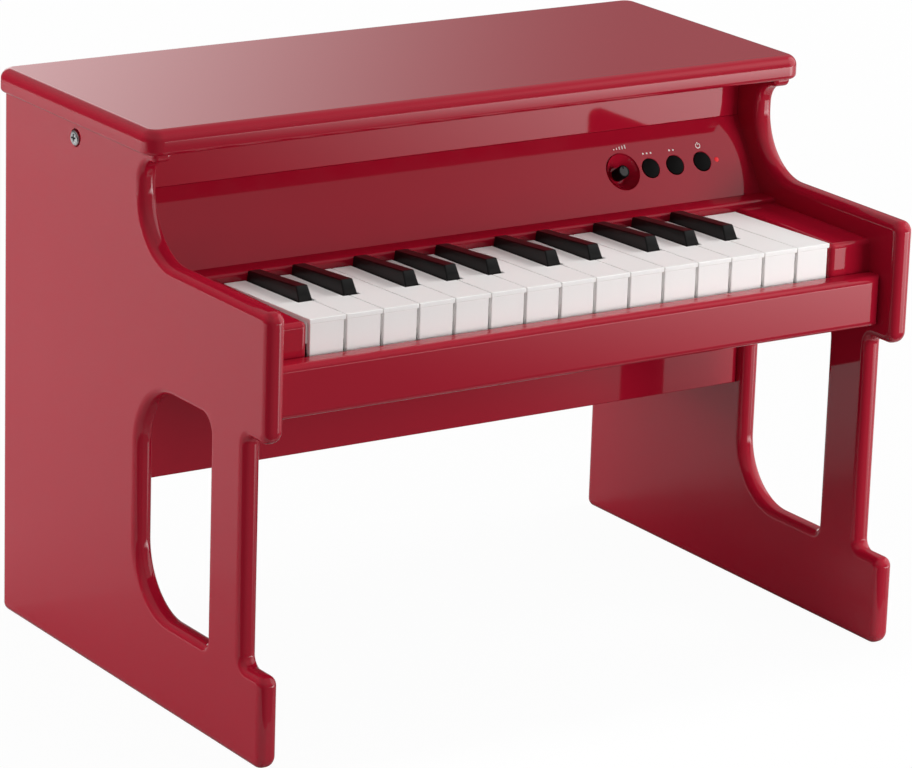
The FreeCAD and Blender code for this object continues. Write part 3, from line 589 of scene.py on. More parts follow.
def makeLid():
    s = lid
    low, high = boxOf("top_lid")
    board = addBlock("lidBoard", low, high)
    bevelEdges(board, lambda edge: runsAlong(edge, "z"), s["cornerRound"], s["cornerSteps"])
    bevelEdges(board, lambda edge: lies(edge, z=high.z), s["topRound"], s["topSteps"])
    bevelEdges(board, lambda edge: lies(edge, z=low.z), s["bottomRound"], s["bottomSteps"])
    finishPiece(board, "lid", redLacquer, "top_lid")


makeLid()
print("lid made")

# boards between the sides, each with its edges eased
boards = dict(ease=0.5, easeSteps=3, stripRound=2.0, stripSteps=6, stripRearSteps=2, slipRound=3.5,
              slipSteps=8, slipRearRound=0.8, slipRearSteps=3, doorGap=0.3, doorUnder=9.0, doorOver=19.0)


def easedBlock(name, low, high, ease):
    board = addBlock(name, low, high)
    bevelEdges(board, lambda edge: True, ease, boards["easeSteps"])
    return board


def easedBoard(name, node):
    return easedBlock(name, *boxOf(node), boards["ease"])


def makeStrip():
    s = boards
    low, high = boxOf("rear_strip")
    strip = addBlock("stripRail", low, high)
    bevelEdges(strip, alongX(low.y, high.z), s["stripRound"], s["stripSteps"])
    bevelEdges(strip, lambda edge: lies(edge, y=high.y) and sharp(edge), s["ease"], s["stripRearSteps"])
    finishRed(strip, "rear_strip")


def makeSlip():
    s = boards
    low, high = boxOf("key_slip")
    slip = addBlock("slipRail", low, high)
    bevelEdges(slip, lambda edge: lies(edge, y=low.y), s["slipRound"], s["slipSteps"])
    bevelEdges(slip, lambda edge: lies(edge, y=high.y) and sharp(edge),
               s["slipRearRound"], s["slipRearSteps"])
    finishRed(slip, "key_slip")


def makeBottom():  # with an opening for the battery door
    s = boards
    bottom = easedBoard("bottomBoard", "bottom_board")
    low, high = boxOf("battery_door")
    cutBlock(bottom, low - Vector((s["doorGap"], s["doorGap"], s["doorUnder"])),
             high + Vector((s["doorGap"], s["doorGap"], s["doorOver"])))
    finishDark(bottom, "bottom_board")


finishRed(easedBoard("friezeFront", "frieze_board"), "frieze_board")
makeStrip()
makeSlip()
finishDark(easedBoard("keyBed", "keybed"), "keybed")
finishRed(easedBoard("lowerFront", "lower_front_panel"), "lower_front_panel")
makeBottom()

cheek = dict(inner=165.15, outer=191.5, front=-117.6, rear=-31.0, bottom=193.7, top=227.2,
             edgeRound=3.0, edgeSteps=7)


def makeCheeks():
    s = cheek
    right = addBlock("cheekEnds", (s["inner"], s["front"], s["bottom"]), (s["outer"], s["rear"], s["top"]))

    def shown(edge):  # the edges between front, top and inner side
        return lies(edge, y=s["front"]) + lies(edge, z=s["top"]) + lies(edge, x=s["inner"]) == 2

    bevelEdges(right, shown, s["edgeRound"], s["edgeSteps"])
    left = mirrorPiece(right, "cheekLeft")
    finishRed(joinPieces([right, left], "cheekEnds"), "cheek_blocks")


makeCheeks()
print("boards made")

# sloped control panel
panel = dict(half=191.5, foot=(-18.04, 230.2), crease=(6.9, 269.5), depth=11.84, turn=57.6, line=22.3,
             dishX=105.0, dishRadius=10.35, dishFloor=4.8, dishDepth=7.0, dishOut=6.0, dishSides=96,
             dishRim=0.7, dishRimSteps=4, floorRim=0.5, rimSteps=3, shaftHole=2.5, shaftSides=48,
             buttonX=(123.8, 140.3, 158.8), buttonHole=5.75, buttonSides=64, buttonRim=0.3,
             lampX=168.7, lampHole=1.5, lampSides=32, drillIn=-20.0, drillOut=9.0)


def onPanel(x, along, out=0.0):  # a point on the slope, along it from its foot, and out from its face
    slope = math.radians(panel["turn"])
    up = Vector((0, math.cos(slope), math.sin(slope)))
    outward = Vector((0, -math.sin(slope), math.cos(slope)))
    return Vector((x, *panel["foot"])) + up * along + outward * out


def placeOnPanel(piece, x, along, out=0.0):
    return placePiece(piece, onPanel(x, along, out), (panel["turn"], 0, 0))


def bevelRim(piece, centre, radius, width, steps):  # the rim of a round hole
    def onRim(edge):
        apart = [abs((vert.co / mm - centre).length - radius) for vert in edge.verts]
        return max(apart) < rimSlack and sharp(edge, softAngle)
    bevelEdges(piece, onRim, width, steps)


def makePanel():
    s = panel
    board = addBlock("panelSlope", (-s["half"], *s["foot"]),
                     (s["half"], s["foot"][0] + s["depth"], s["crease"][1]))
    pickFaces(board, lambda place, normal: normal.z > facing)
    bpy.ops.transform.translate(value=(0, (s["crease"][0] - s["foot"][0]) * mm, 0))  # lean it back
    closePiece()
    dish = turnPiece("cutter", [(s["dishFloor"], -s["dishDepth"]), (s["dishRadius"], 0),
                                (s["dishRadius"], s["dishOut"])], s["dishSides"])
    cutPiece(board, placeOnPanel(dish, s["dishX"], s["line"]))
    holes = [(s["dishX"], s["shaftHole"], s["shaftSides"])]
    holes += [(x, s["buttonHole"], s["buttonSides"]) for x in s["buttonX"]]
    holes.append((s["lampX"], s["lampHole"], s["lampSides"]))
    for x, radius, sides in holes:
        drillPiece(board, radius, onPanel(x, s["line"], s["drillIn"]),
                   onPanel(x, s["line"], s["drillOut"]), sides)
    bevelRim(board, onPanel(s["dishX"], s["line"]), s["dishRadius"], s["dishRim"], s["dishRimSteps"])
    bevelRim(board, onPanel(s["dishX"], s["line"], -s["dishDepth"]), s["dishFloor"],
             s["floorRim"], s["rimSteps"])
    for x in s["buttonX"]:
        bevelRim(board, onPanel(x, s["line"]), s["buttonHole"], s["buttonRim"], s["rimSteps"])
    finishRed(board, "control_panel")


makePanel()

knob = dict(profile=[(2.0, -14.5), (2.0, -6.6), (3.3, -6.6), (3.6, -6.3), (3.6, 0.6), (3.35, 1.0), (3.0, 1.2),
                     (2.75, 1.2), (2.65, 1.08), (0.5, 1.15)],  # from the shaft to the dip in the cap
            sides=64, top=1.2, cap=2.75, greyDepth=0.2, greyMargin=0.05,
            pointer=0.8, pointerStart=1.3, pointerEnd=5.0, pointerDepth=0.4, pointerOver=1.0)


def makeKnob():
    s = knob
    piece = turnPiece("volumeKnobCap", s["profile"], s["sides"])
    cutBlock(piece, (-s["pointer"] / 2, s["pointerStart"], s["top"] - s["pointerDepth"]),
             (s["pointer"] / 2, s["pointerEnd"], s["top"] + s["pointerOver"]))
    placeOnPanel(piece, panel["dishX"], panel["line"])
    finishPiece(piece, "volume_knob", controlBlack, "volume_knob")
    centre = onPanel(panel["dishX"], panel["line"], s["top"])
    outward = onPanel(0, 0, 1) - onPanel(0, 0)

    def onCap(place, normal):
        away = place - centre
        return (normal.dot(outward) > facing and away.dot(outward) > -s["greyDepth"]
                and away.length < s["cap"] - s["greyMargin"])

    paintFaces(piece, controlGrey, onCap)


makeKnob()

button = dict(radius=5.45, proud=0.9, crown=0.6, crownSteps=6, crownIn=0.35, rimDown=0.25, rimIn=0.12,
              rimUp=0.05, flange=6.4, flangeTop=-10.3, flangeBottom=-11.3, stem=1.6, stemEnd=-12.7,
              sides=64, labels=("sound", "song", "power"))


def makeButtons():
    s = button
    rim = s["proud"] - s["crown"]
    profile = [(s["stem"], s["stemEnd"]), (s["stem"], s["flangeBottom"]),
               (s["flange"], s["flangeBottom"]), (s["flange"], s["flangeTop"]), (s["radius"], s["flangeTop"]),
               (s["radius"], rim - s["rimDown"]), (s["radius"] - s["rimIn"], rim + s["rimUp"])]
    for step in range(1, s["crownSteps"] + 1):  # the crowned face, from its edge to near its middle
        reach = (s["radius"] - s["crownIn"]) * (1 - step / (s["crownSteps"] + 0.5))
        profile.append((reach, s["proud"] - s["crown"] * (reach / s["radius"]) ** 2))
    first = turnPiece("pushButton", profile, s["sides"])
    for label, x in zip(s["labels"], panel["buttonX"]):
        cap = placeOnPanel(copyPiece(first, label + "ButtonCap"), x, panel["line"])
        finishPiece(cap, label + "_button", controlBlack, label + "_button")
    dropPiece(first)


makeButtons()

lamp = dict(profile=[(1.45, -10), (1.45, 0), (1.35, 0.18), (1.1, 0.31), (0.75, 0.38), (0.25, 0.4)], sides=32)


def makeLamp():
    piece = placeOnPanel(turnPiece("lampLens", lamp["profile"], lamp["sides"]), panel["lampX"], panel["line"])
    finishPiece(piece, "cabinet", lampRed, "indicator_lamp")


makeLamp()

# plain printed marks above the controls: rising ticks, dots, and a ring with a bar
marks = dict(thickness=0.05, lift=0.06, corner=0.12, cornerSteps=2, ticks=5, tickHalf=0.28, tickFirst=0.7,
             tickGrow=0.45, tickGap=1.9, tickX=106.9, tickAlong=35.1, dots=(3, 2), dotAlong=31.0,
             dotRadius=0.55, dotGap=2.6, dotSides=20, dotWall=0.6, dotEase=0.04, ringAlong=31.6,
             ringRadius=1.7, ringWidth=0.5, ringStart=0.02, ringTurn=290.0, ringSteps=24,
             barHalf=0.25, barFoot=0.4, barTop=2.1)


def makeStroke(half, foot, top):
    s = marks
    stroke = addBlock("mark", (-half, foot, 0), (half, top, s["thickness"]))
    bevelEdges(stroke, lambda edge: runsAlong(edge, "z"), s["corner"], s["cornerSteps"])
    return stroke


def makeDot():
    s = marks
    return turnPiece("mark", [(s["dotRadius"], 0), (s["dotRadius"], s["thickness"] * s["dotWall"]),
                              (s["dotRadius"] - s["dotEase"], s["thickness"])], s["dotSides"])


def makeRing():  # open at its top, above the bar
    s = marks
    ring = addBlock("mark", (s["ringRadius"] - s["ringWidth"], -s["ringStart"], 0),
                    (s["ringRadius"], 0, s["thickness"]))
    pickFaces(ring, lambda place, normal: normal.y > facing)
    for i in range(s["ringSteps"]):
        bpy.ops.mesh.extrude_region_move()
        bpy.ops.transform.rotate(value=-math.radians(s["ringTurn"] / s["ringSteps"]), orient_axis="Z",
                                 center_override=(0, 0, 0))
    closePiece()
    return placePiece(ring, (0, 0, 0), (0, 0, 270 - s["ringTurn"] / 2))


def makeMarks():
    s = marks
    placed = []
    for i in range(s["ticks"]):
        x = s["tickX"] + (i - (s["ticks"] - 1) / 2) * s["tickGap"]
        placed.append((makeStroke(s["tickHalf"], 0, s["tickFirst"] + s["tickGrow"] * i), x, s["tickAlong"]))
    for count, x in zip(s["dots"], panel["buttonX"]):
        for i in range(count):
            placed.append((makeDot(), x + (i - (count - 1) / 2) * s["dotGap"], s["dotAlong"]))
    for piece in (makeRing(), makeStroke(s["barHalf"], s["barFoot"], s["barTop"])):
        placed.append((piece, panel["buttonX"][-1], s["ringAlong"]))
    out = s["lift"] - s["thickness"]
    pieces = [placeOnPanel(piece, x, along, out) for piece, x, along in placed]
    finishPiece(joinPieces(pieces, "panelMarks"), "cabinet", printWhite)


makeMarks()
print("control panel made")

# keys
keys = dict(count=25, pitch=21.9, gap=0.4, start=-164.25, face=-116.8, lip=0.8, lipDepth=2.6,
            frontInset=0.7, frontDepth=3.0, frontBottom=206.0, top=228.3, fall=2.7, slabBottom=214.5,
            notch=-85.0, end=-32.0, neckEnd=7.0, neckTop=221.0, pivotY=2.0, pivotZ=217.0, bore=2.05,
            boreSides=24, boreOver=5.0, edgeRound=0.45, roundSteps=4, sideGap=1.0, kindDigits=4,
            blackWidth=8.2, blackSideSlope=0.6, blackFront=-83.8, blackFrontSlope=4.1, blackHeight=7.2,
            blackFall=2.1, blackRound=0.7)
octave = ["c", "c_sharp", "d", "d_sharp", "e", "f", "f_sharp", "g", "g_sharp", "a", "a_sharp", "b"]
blackShift = dict(c_sharp=-3.55, d_sharp=1.55, f_sharp=-4.8, g_sharp=-1.0, a_sharp=2.8)


def whiteLevel(y):  # the white tops fall a little to the rear
    run = keys["end"] - keys["face"] + keys["lip"]
    return keys["top"] - keys["fall"] * (y - keys["face"] + keys["lip"]) / run


def slopeTop(key):  # brings the level top to its fall
    mesh = editPiece(key, "VERT")
    for vert in mesh.verts:
        if vert.co.z / mm > keys["top"] - slack:
            vert.co.z = whiteLevel(vert.co.y / mm) * mm
    bmesh.update_edit_mesh(key.data)
    closePiece()


def boreKey(key, left, right):
    s = keys
    drillPiece(key, s["bore"], (left - s["boreOver"], s["pivotY"], s["pivotZ"]),
               (right + s["boreOver"], s["pivotY"], s["pivotZ"]), s["boreSides"])


def makeWhiteKey(width, backLeft, backRight):  # left edge at x = 0
    s = keys
    shoulder = s["face"] + s["frontDepth"]
    lipBottom = s["top"] - s["lipDepth"]
    inset = s["frontInset"]

    def atBack(place, normal):
        return normal.y > facing and backLeft - slack < place.x < backRight + slack

    def atNeck(place, normal):
        return normal.y > facing and place.y > s["end"] - near and place.z < s["neckTop"]

    def ahead(place, normal):
        return normal.y < -facing and place.y < shoulder + near

    def atFront(place, normal):  # below the lip the front is narrower
        return ahead(place, normal) and (place.z > lipBottom or inset < place.x < width - inset)

    def underFront(place, normal):
        return normal.z < -facing and place.y < shoulder and place.z < s["slabBottom"] + near

    def atLip(place, normal):
        return ahead(place, normal) and place.y < s["face"] + near and place.z > lipBottom

    def shown(edge):
        spot = middle(edge)
        return (sharp(edge, cornerAngle) and edge.is_convex
                and spot.y < s["end"] + near and spot.z > s["frontBottom"] - near)

    key = addBlock("whiteKeyType", (0, shoulder, s["slabBottom"]), (width, s["notch"], s["top"]))
    for x in (backLeft, backRight):
        if near < x < width - near:
            slicePiece(key, (x, 0, 0), (1, 0, 0))
    extrudeFaces(key, atBack, (0, s["end"] - s["notch"], 0))
    slicePiece(key, (0, 0, s["neckTop"]), (0, 0, 1))
    extrudeFaces(key, atNeck, (0, s["neckEnd"] - s["end"], 0))
    for x in (inset, width - inset):
        slicePiece(key, (x, 0, 0), (1, 0, 0), ahead)
    slicePiece(key, (0, 0, lipBottom), (0, 0, 1), ahead)
    extrudeFaces(key, atFront, (0, -s["frontDepth"], 0))
    extrudeFaces(key, underFront, (0, 0, s["frontBottom"] - s["slabBottom"]))
    extrudeFaces(key, atLip, (0, -s["lip"], 0))
    slopeTop(key)
    mergeFlat(key)
    bevelEdges(key, shown, s["edgeRound"], s["roundSteps"])
    boreKey(key, 0, width)
    return key


def makeBlackKey():  # middle at x = 0
    s = keys
    half = s["blackWidth"] / 2

    def onTop(place, normal):
        return normal.z > facing and place.y < s["end"]

    def onCrown(edge):
        return sharp(edge) and edge.is_convex and middle(edge).z > s["top"] + near

    key = addBlock("blackKeyType", (-half, s["blackFront"], s["slabBottom"]), (half, s["end"], s["neckTop"]))
    extrudeFaces(key, lambda place, normal: normal.y > facing, (0, s["neckEnd"] - s["end"], 0))
    extrudeFaces(key, onTop, (0, 0, s["top"] - s["neckTop"]))
    slopeTop(key)
    extrudeFaces(key, onTop, (0, 0, s["blackHeight"]))
    mesh = editPiece(key, "VERT")
    for vert in mesh.verts:  # the crown: narrower, its front leaning back and its top falling to the rear
        if vert.co.z / mm > s["top"] + near:
            atFront = vert.co.y / mm < s["blackFront"] + near
            lift = s["blackHeight"] if atFront else s["blackHeight"] - s["blackFall"]
            y = s["blackFront"] + s["blackFrontSlope"] if atFront else s["end"]
            inset = s["blackSideSlope"] * lift / s["blackHeight"]
            vert.co = Vector((math.copysign(half - inset, vert.co.x), y, whiteLevel(y) + lift)) * mm
    bmesh.update_edit_mesh(key.data)
    closePiece()
    bevelEdges(key, onCrown, s["blackRound"], s["roundSteps"])
    boreKey(key, -half, half)
    return key


def makeKeys():  # white keys with the same back are copies of one; returns the middle of each key's back
    s = keys
    names = [octave[i % len(octave)] for i in range(s["count"])]
    whitesBefore = [sum(not name.endswith("sharp") for name in names[:i]) for i in range(s["count"])]
    blackCentre = {i: s["start"] + s["pitch"] * whitesBefore[i] + blackShift[name]
                   for i, name in enumerate(names) if name.endswith("sharp")}
    width = s["pitch"] - s["gap"]
    room = s["blackWidth"] / 2 + s["sideGap"]
    blackModel = makeBlackKey()
    whiteModels = {}
    middles = {}
    for i, name in enumerate(names):
        node = "key_%02d_%s" % (i + 1, name)
        label = "key%02d" % (i + 1) + name.title().replace("_", "")
        if i in blackCentre:
            key = copyPiece(blackModel, label, (blackCentre[i], 0, 0))
            finishPiece(key, node, blackKey, node)
            middles[node] = blackCentre[i]
            continue
        left = s["start"] + s["pitch"] * whitesBefore[i] + s["gap"] / 2
        backLeft = 0.0
        backRight = width
        if i - 1 in blackCentre:
            backLeft = round(blackCentre[i - 1] + room - left, s["kindDigits"])
        if i + 1 in blackCentre:
            backRight = round(blackCentre[i + 1] - room - left, s["kindDigits"])
        kind = (backLeft, backRight)
        if kind not in whiteModels:
            whiteModels[kind] = makeWhiteKey(width, backLeft, backRight)
        key = copyPiece(whiteModels[kind], label, (left, 0, 0))
        finishPiece(key, node, whiteKey, node)
        middles[node] = left + (backLeft + backRight) / 2
    for model in (*whiteModels.values(), blackModel):
        dropPiece(model)
    print("keys made,", len(whiteModels), "kinds of white key")
    return middles


keyMiddles = makeKeys()

# rubber contacts: a dome below each key
contact = dict(y=-62.0, stripTop=208.6, ease=0.3, baseRadius=4.0, topRadius=2.6, height=5.6, topRound=0.6,
               roundSteps=4, sides=32, sunk=0.2, pressed=0.5)


def makeContacts():
    s = contact
    low, high = boxOf("key_contact_strip")
    strip = easedBlock("contactStrip", low, (high.x, high.y, s["stripTop"]), s["ease"])
    finishPiece(strip, "cabinet", rubberGrey, "key_contact_strip")
    profile = [(s["baseRadius"], -s["sunk"]), (s["baseRadius"], 0),
               (s["topRadius"], s["height"] - s["topRound"])]
    profile += roundedTop(s["topRadius"], s["height"], s["topRound"], s["roundSteps"])
    first = turnPiece("domeType", profile, s["sides"])
    for node, x in keyMiddles.items():
        foot = Vector((x, s["y"], s["stripTop"]))
        dome = copyPiece(first, "dome_" + node, foot)
        finishPiece(dome, "cabinet", rubberGrey)
        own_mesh(dome)
    dropPiece(first)


makeContacts()
print("contacts made")

# screws: one modelled, eight placed
screw = dict(headRadius=4.2, headHeight=2.8, headRound=1.2, roundSteps=5, crownRadius=1.0, crownRise=0.05,
             shank=2.0, length=24.0, sides=40, slotWidth=1.1, slotLength=4.6, slotDepth=1.3, slotOver=2.0,
             rearX=(-170, 0, 170), rearY=135.0, rearZ=(288.4, 120.7))


def makeScrews():
    s = screw
    profile = [(s["shank"], -s["length"]), (s["shank"], 0), (s["headRadius"], 0),
               (s["headRadius"], s["headHeight"] - s["headRound"])]
    profile += roundedTop(s["headRadius"], s["headHeight"], s["headRound"], s["roundSteps"])
    profile.append((s["crownRadius"], s["headHeight"] + s["crownRise"]))
    first = turnPiece("screwModel", profile, s["sides"])
    long = s["slotLength"] / 2
    short = s["slotWidth"] / 2
    for x, y in ((long, short), (short, long)):  # the cross recess
        cutBlock(first, (-x, -y, s["headHeight"] - s["slotDepth"]), (x, y, s["headHeight"] + s["slotOver"]))
    sideX = side["outer"] - side["counterboreDepth"]
    seats = [((way * sideX, side["screwY"], side["screwZ"]), (0, way * 90, 0)) for way in (1, -1)]
    seats += [((x, s["rearY"], z), (-90, 0, 0)) for x in s["rearX"] for z in s["rearZ"]]
    pieces = [placePiece(copyPiece(first, "screwCopy"), place, turn) for place, turn in seats]
    dropPiece(first)
    finishPiece(joinPieces(pieces, "cabinetScrewSet"), "cabinet", screwSteel, "cabinet_screws")


makeScrews()
print("screws made")

# back, with its two sockets
rear = dict(front=126.0, back=135.0, drillOver=5.0)
socket = dict(phonesX=-120.0, phonesBore=1.8, powerX=-92.0, powerBore=2.9, z=150.0, bushing=4.5, holeGap=0.1,
              depth=9.0, proud=0.6, rimEase=0.25, mouthOut=0.5, mouthIn=0.1, mouthDown=0.3, sides=48,
              bodyHalf=7.0, bodyRise=6.0, bodyDepth=18.0, bodyEase=0.4, pinSides=24,
              pin=[(1.0, -9.0), (1.0, -1.4), (0.8, -1.1), (0.3, -1.0)])


def makeBack():
    s = rear
    board = easedBoard("rearBoard", "rear_panel")
    for x in (socket["phonesX"], socket["powerX"]):
        drillPiece(board, socket["bushing"] + socket["holeGap"],
                   (x, s["front"] - s["drillOver"], socket["z"]),
                   (x, s["back"] + s["drillOver"], socket["z"]))
    finishRed(board, "rear_panel")


def makeSocket(label, node, x, bore, pin=None):
    s = socket
    profile = [(bore, -s["depth"]), (s["bushing"], -s["depth"]), (s["bushing"], s["proud"] - s["rimEase"]),
               (s["bushing"] - s["rimEase"], s["proud"]), (bore + s["mouthOut"], s["proud"]),
               (bore + s["mouthIn"], s["proud"] - s["mouthDown"]), (bore, 0), (bore, -s["depth"])]
    seat = (x, rear["back"], s["z"])
    ring = placePiece(turnPiece(label, profile, s["sides"], hollow=True), seat, (-90, 0, 0))
    body = easedBlock("socketBody",
                      (x - s["bodyHalf"], rear["front"] - s["bodyDepth"], s["z"] - s["bodyRise"]),
                      (x + s["bodyHalf"], rear["front"], s["z"] + s["bodyRise"]), s["bodyEase"])
    pieces = [ring, body]
    if pin:
        pieces.append(placePiece(turnPiece("socketPin", pin, s["pinSides"]), seat, (-90, 0, 0)))
    finishPiece(joinPieces(pieces, label), "cabinet", socketBlack, node)


makeBack()
makeSocket("phonesSocket", "headphone_socket", socket["phonesX"], socket["phonesBore"])
makeSocket("powerSocket", "power_inlet", socket["powerX"], socket["powerBore"], socket["pin"])

# speaker below a hole in the deck; the cone from its surround to its dust cap
speaker = dict(x=0.0, y=70.95, hole=32.0, holeFrom=270.0, holeTo=300.0, holeSides=96, holeEase=0.8,
               easeSteps=3, deckTop=294.4, rim=280.4, coneSides=96, coneAngle=28,
               cone=[(31.7, 0.0), (31.7, 1.0), (30.9, 1.6), (29.9, 1.9), (28.9, 1.6), (28.2, 0.9),
                     (27.6, 0.4), (20.0, -5.4), (12.0, -11.1), (9.4, -12.6), (8.8, -11.4), (6.5, -9.8),
                     (3.5, -8.8), (0.6, -8.4)])


def makeSpeaker():
    s = speaker
    deck = easedBoard("deckBoard", "speaker_deck")
    drillPiece(deck, s["hole"], (s["x"], s["y"], s["holeFrom"]), (s["x"], s["y"], s["holeTo"]),
               s["holeSides"])
    bevelRim(deck, Vector((s["x"], s["y"], s["deckTop"])), s["hole"], s["holeEase"], s["easeSteps"])
    finishDark(deck, "speaker_deck")
    cone = placePiece(turnPiece("speakerConeSheet", s["cone"], s["coneSides"]), (s["x"], s["y"], s["rim"]))
    finishPiece(cone, "cabinet", conePaper, "speaker_cone", s["coneAngle"])


makeSpeaker()
print("back and speaker made")

# lid hinges: leaves on the back and under the lid, with webs to their knuckles
hinge = dict(places=(-120.0, 120.0), length=30.0, pinY=139.1, pinZ=293.4, knuckle=2.4, knuckleSides=32,
             knuckleEase=0.3, centre=9.8, gap=0.3, corner=1.6, cornerSteps=4, plateEase=0.15, easeSteps=2,
             fixedY=(135.0, 136.2), fixedZ=(274.2, 292.2), fixedWebY=135.1, fixedWebZ=(291.0, 292.1),
             movingY=(117.9, 135.9), movingZ=(294.9, 296.1), movingWebY=135.0, movingWebZ=(294.9, 295.75))


def leafPlate(xs, ys, zs, flatAxis):
    s = hinge
    plate = addBlock("leafPlate", *zip(xs, ys, zs))
    bevelEdges(plate, lambda edge: runsAlong(edge, flatAxis), s["corner"], s["cornerSteps"])
    bevelEdges(plate, lambda edge: sharp(edge, cornerAngle), s["plateEase"], s["easeSteps"])
    return plate


def leafKnuckle(xs, webY, webZ):
    s = hinge
    bar = addBar("knuckle", s["knuckle"], (xs[0], s["pinY"], s["pinZ"]), (xs[1], s["pinY"], s["pinZ"]),
                 s["knuckleSides"])
    bevelEdges(bar, lambda edge: sharp(edge, cornerAngle), s["knuckleEase"], s["easeSteps"])
    return [bar, addBlock("leafWeb", *zip(xs, (webY, s["pinY"]), webZ))]


def makeHinges():
    s = hinge
    half = s["length"] / 2
    inner = s["centre"] / 2
    web = inner + s["gap"]
    fixed = []
    moving = []
    for x in s["places"]:
        fixed.append(leafPlate((x - half, x + half), s["fixedY"], s["fixedZ"], "y"))
        for xs in ((x - half, x - web), (x + web, x + half)):
            fixed += leafKnuckle(xs, s["fixedWebY"], s["fixedWebZ"])
        moving.append(leafPlate((x - half, x + half), s["movingY"], s["movingZ"], "z"))
        moving += leafKnuckle((x - inner, x + inner), s["movingWebY"], s["movingWebZ"])
    finishPiece(joinPieces(fixed, "hingeFixedLeaves"), "cabinet", hingeSteel,
                "lid_hinge_fixed_leaves")
    finishPiece(joinPieces(moving, "hingeMovingLeaves"), "lid", hingeSteel,
                "lid_hinge_moving_leaves")


makeHinges()

# battery door with finger grooves
door = dict(ease=0.5, grooves=5, grooveX=112.0, grooveGap=2.6, grooveHalf=0.6, grooveFront=56.0,
            grooveRear=76.0, grooveFrom=110.0, grooveDepth=0.8)


def makeDoor():
    s = door
    low, high = boxOf("battery_door")
    board = easedBlock("batteryHatch", low, high, s["ease"])
    for i in range(s["grooves"]):
        x = s["grooveX"] - i * s["grooveGap"]
        cutBlock(board, (x - s["grooveHalf"], s["grooveFront"], s["grooveFrom"]),
                 (x + s["grooveHalf"], s["grooveRear"], low.z + s["grooveDepth"]))
    finishPiece(board, "cabinet", batteryBlack, "battery_door")


makeDoor()
print("hinges and battery door made")

# pieces that stay as packed get their finishes
innerFinishes = dict(keyboard_tray=trayGrey, key_pivot_rod=rodSteel, key_contact_board=circuitBoard,
                     volume_control=controlCase, control_board=circuitBoard, speaker_frame=speakerSteel,
                     main_board=circuitBoard, battery_box=batteryBlack, batteries=cellSleeve)
for name, finish in innerFinishes.items():
    for place in nodes[name].material_slots:
        place.material = finish
print("inner pieces finished")

# floor and light, in metres; a lamp has a name, place, target, size and power
studio = dict(floorFront=-0.2, floorReach=6.0, floorCuts=3, floorColour=(0.5, 0.5, 0.5), floorDrift=0.01,
              floorScale=3, floorRoughness=0.9, floorWhite=0.97, frontFade=0.05, farFade=(0.6, 2.5),
              lamps=[("leftLamp", (-1.4, 0.8, 0.27), (0, 0.05, 0.18), (1.4, 0.3), 16.0),
                     ("rightCard", (0.5, -0.75, 0.3), (0, 0, 0.2), (0.4, 0.4), 5.1),
                     ("leftCard", (-0.5, -0.9, 0.3), (0, 0, 0.2), (0.4, 0.4), 1.5),
                     ("rightLamp", (2.1, 0.1, 1.4), (0, 0, 0.25), (1.0, 1.0), 41.0),
                     ("topLamp", (0.0, 0.2, 2.6), (0, 0, 0.2), (2.0, 2.0), 29.0),
                     ("floorLamp", (-0.65, 0.5, 0.6), (-0.65, 0.5, 0.0), (0.5, 0.5), 1.7)],
              ambient=0.16, mirrorBase=0.08,
              patches=[dict(way=(-0.853, 0.522, 0.0), edge=(-0.080, 0.1625), glow=1.7,
                            limit=dict(way=(0, 0, -1), edge=(-0.47, -0.33), glow=1.0,
                                       limit=dict(way=(0.766, 0.643, 0.0), edge=(0.62, 0.86), glow=1.0))),
                       dict(way=(0.7466, -0.6453, 0.1619), edge=(0.8586, 0.9465), glow=6.2,
                            limit=dict(way=(0, 0, -1), edge=(0.06, 0.19), glow=1.0)),
                       dict(way=(0.55, -0.83, 0.0), edge=(0.3, 0.95), glow=0.14),
                       dict(way=(0.6, 0.8, 0.0), edge=(0.3, 0.9), glow=0.11),
                       dict(way=(0.94, -0.2, 0.28), edge=(0.775, 0.87), glow=1.1),
                       dict(way=(0, 0, 1), edge=(0.0, 0.8), glow=0.27)])


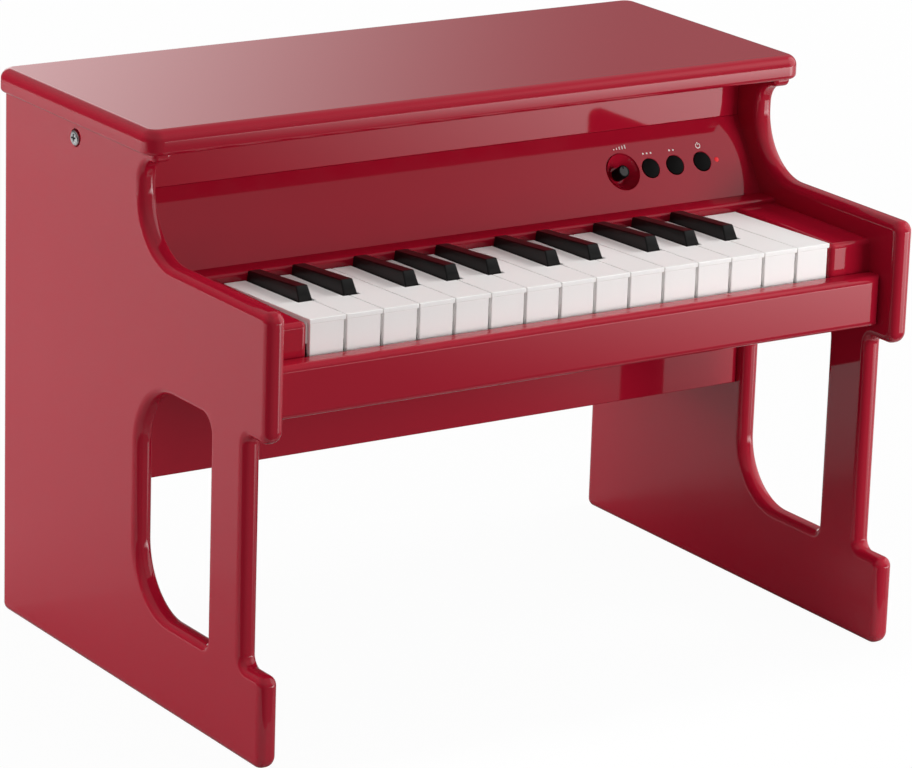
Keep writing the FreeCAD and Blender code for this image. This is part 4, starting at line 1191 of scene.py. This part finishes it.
def makeFloor():  # to the camera nearly white with soft shadows, and quite white at its edges
    s = studio
    startClean()
    bpy.ops.mesh.primitive_plane_add(size=1, location=(0, (s["floorFront"] + s["floorReach"]) / 2, 0))
    floor = bpy.context.object
    floor.name = "studioFloor"
    floor.scale = (2 * s["floorReach"], s["floorReach"] - s["floorFront"], 1)
    applyPlace()
    bpy.ops.object.mode_set(mode="EDIT")
    bpy.ops.mesh.subdivide(number_cuts=s["floorCuts"])
    closePiece()
    finish, tree, shader = newFinish("studioFloor", {
        "Roughness": s["floorRoughness"], "Specular IOR Level": 0.0})
    addTone(tree, shader, addNoise(tree, s["floorScale"]), s["floorColour"],
            [part + s["floorDrift"] for part in s["floorColour"]])
    place = addNode(tree, "TexCoord").outputs["Object"]
    apart = addNode(tree, "SeparateXYZ", {0: place})
    away = addNode(tree, "VectorMath", {0: place}, operation="LENGTH")
    front = addNode(tree, "MapRange", {
        "Value": apart.outputs["Y"], "From Min": s["floorFront"],
        "From Max": s["floorFront"] + s["frontFade"], "To Min": 1.0, "To Max": s["floorWhite"]})
    far = addNode(tree, "MapRange", {
        "Value": away.outputs["Value"], "From Min": s["farFade"][0], "From Max": s["farFade"][1],
        "To Min": s["floorWhite"], "To Max": 1.0})
    whiter = addNode(tree, "Math", {0: front.outputs["Result"], 1: far.outputs["Result"]},
                     operation="MAXIMUM")
    seen = addNode(tree, "LightPath").outputs["Is Camera Ray"]
    share = addNode(tree, "Math", {0: whiter.outputs[0], 1: seen}, operation="MULTIPLY")
    glow = addNode(tree, "Emission", {"Color": (1, 1, 1, 1), "Strength": 1.0})
    mix = addNode(tree, "MixShader", {0: share.outputs[0], 1: shader.outputs[0], 2: glow.outputs[0]})
    setSockets(tree, tree.nodes["Material Output"], {"Surface": mix.outputs[0]})
    floor.data.materials.append(finish)


def makeLamps():  # unseen in the gloss, which the world's patches make
    for name, place, target, size, power in studio["lamps"]:
        startClean()
        bpy.ops.object.light_add(type="AREA", location=place)
        light = bpy.context.object
        light.name = name
        light.data.shape = "RECTANGLE"
        light.data.size, light.data.size_y = size
        light.data.energy = power
        light.visible_glossy = False
        aim = Vector(target) - Vector(place)
        light.rotation_euler = aim.to_track_quat("-Z", "Y").to_euler()


def softPatch(tree, view, patch):  # a soft-edged bright part of the studio
    turn = addNode(tree, "VectorMath", {0: view, 1: patch["way"]}, operation="DOT_PRODUCT")
    fade = addNode(tree, "MapRange", {
        "Value": turn.outputs["Value"], "From Min": patch["edge"][0], "From Max": patch["edge"][1],
        "To Min": 0.0, "To Max": patch["glow"]}, interpolation_type="SMOOTHSTEP")
    if "limit" not in patch:
        return fade.outputs["Result"]
    limit = softPatch(tree, view, patch["limit"])
    return addNode(tree, "Math", {0: fade.outputs["Result"], 1: limit}, operation="MULTIPLY").outputs[0]


def makeWorld():  # white to the camera, patches to the gloss, even and dim to the rest
    world = bpy.data.worlds.new("studioWorld")
    scene.world = world
    world.use_nodes = True
    tree = world.node_tree
    tree.nodes.clear()
    view = addNode(tree, "TexCoord").outputs["Generated"]
    mirrored = studio["mirrorBase"]
    for patch in studio["patches"]:
        glow = softPatch(tree, view, patch)
        mirrored = addNode(tree, "Math", {0: mirrored, 1: glow}, operation="ADD").outputs[0]
    rays = addNode(tree, "LightPath").outputs
    shiny = addNode(tree, "Math", {0: rays["Is Glossy Ray"], 1: rays["Is Transmission Ray"]},
                    operation="MAXIMUM")
    white = (1, 1, 1, 1)
    soft = addNode(tree, "Background", {"Color": white, "Strength": studio["ambient"]})
    mirror = addNode(tree, "Background", {"Color": white, "Strength": mirrored})
    seen = addNode(tree, "Background", {"Color": white, "Strength": 1.0})
    unseen = addNode(tree, "MixShader", {0: shiny.outputs[0], 1: soft.outputs[0], 2: mirror.outputs[0]})
    mix = addNode(tree, "MixShader", {0: rays["Is Camera Ray"], 1: unseen.outputs[0], 2: seen.outputs[0]})
    addNode(tree, "OutputWorld", {"Surface": mix.outputs[0]})


makeFloor()
makeLamps()
makeWorld()
print("studio set")
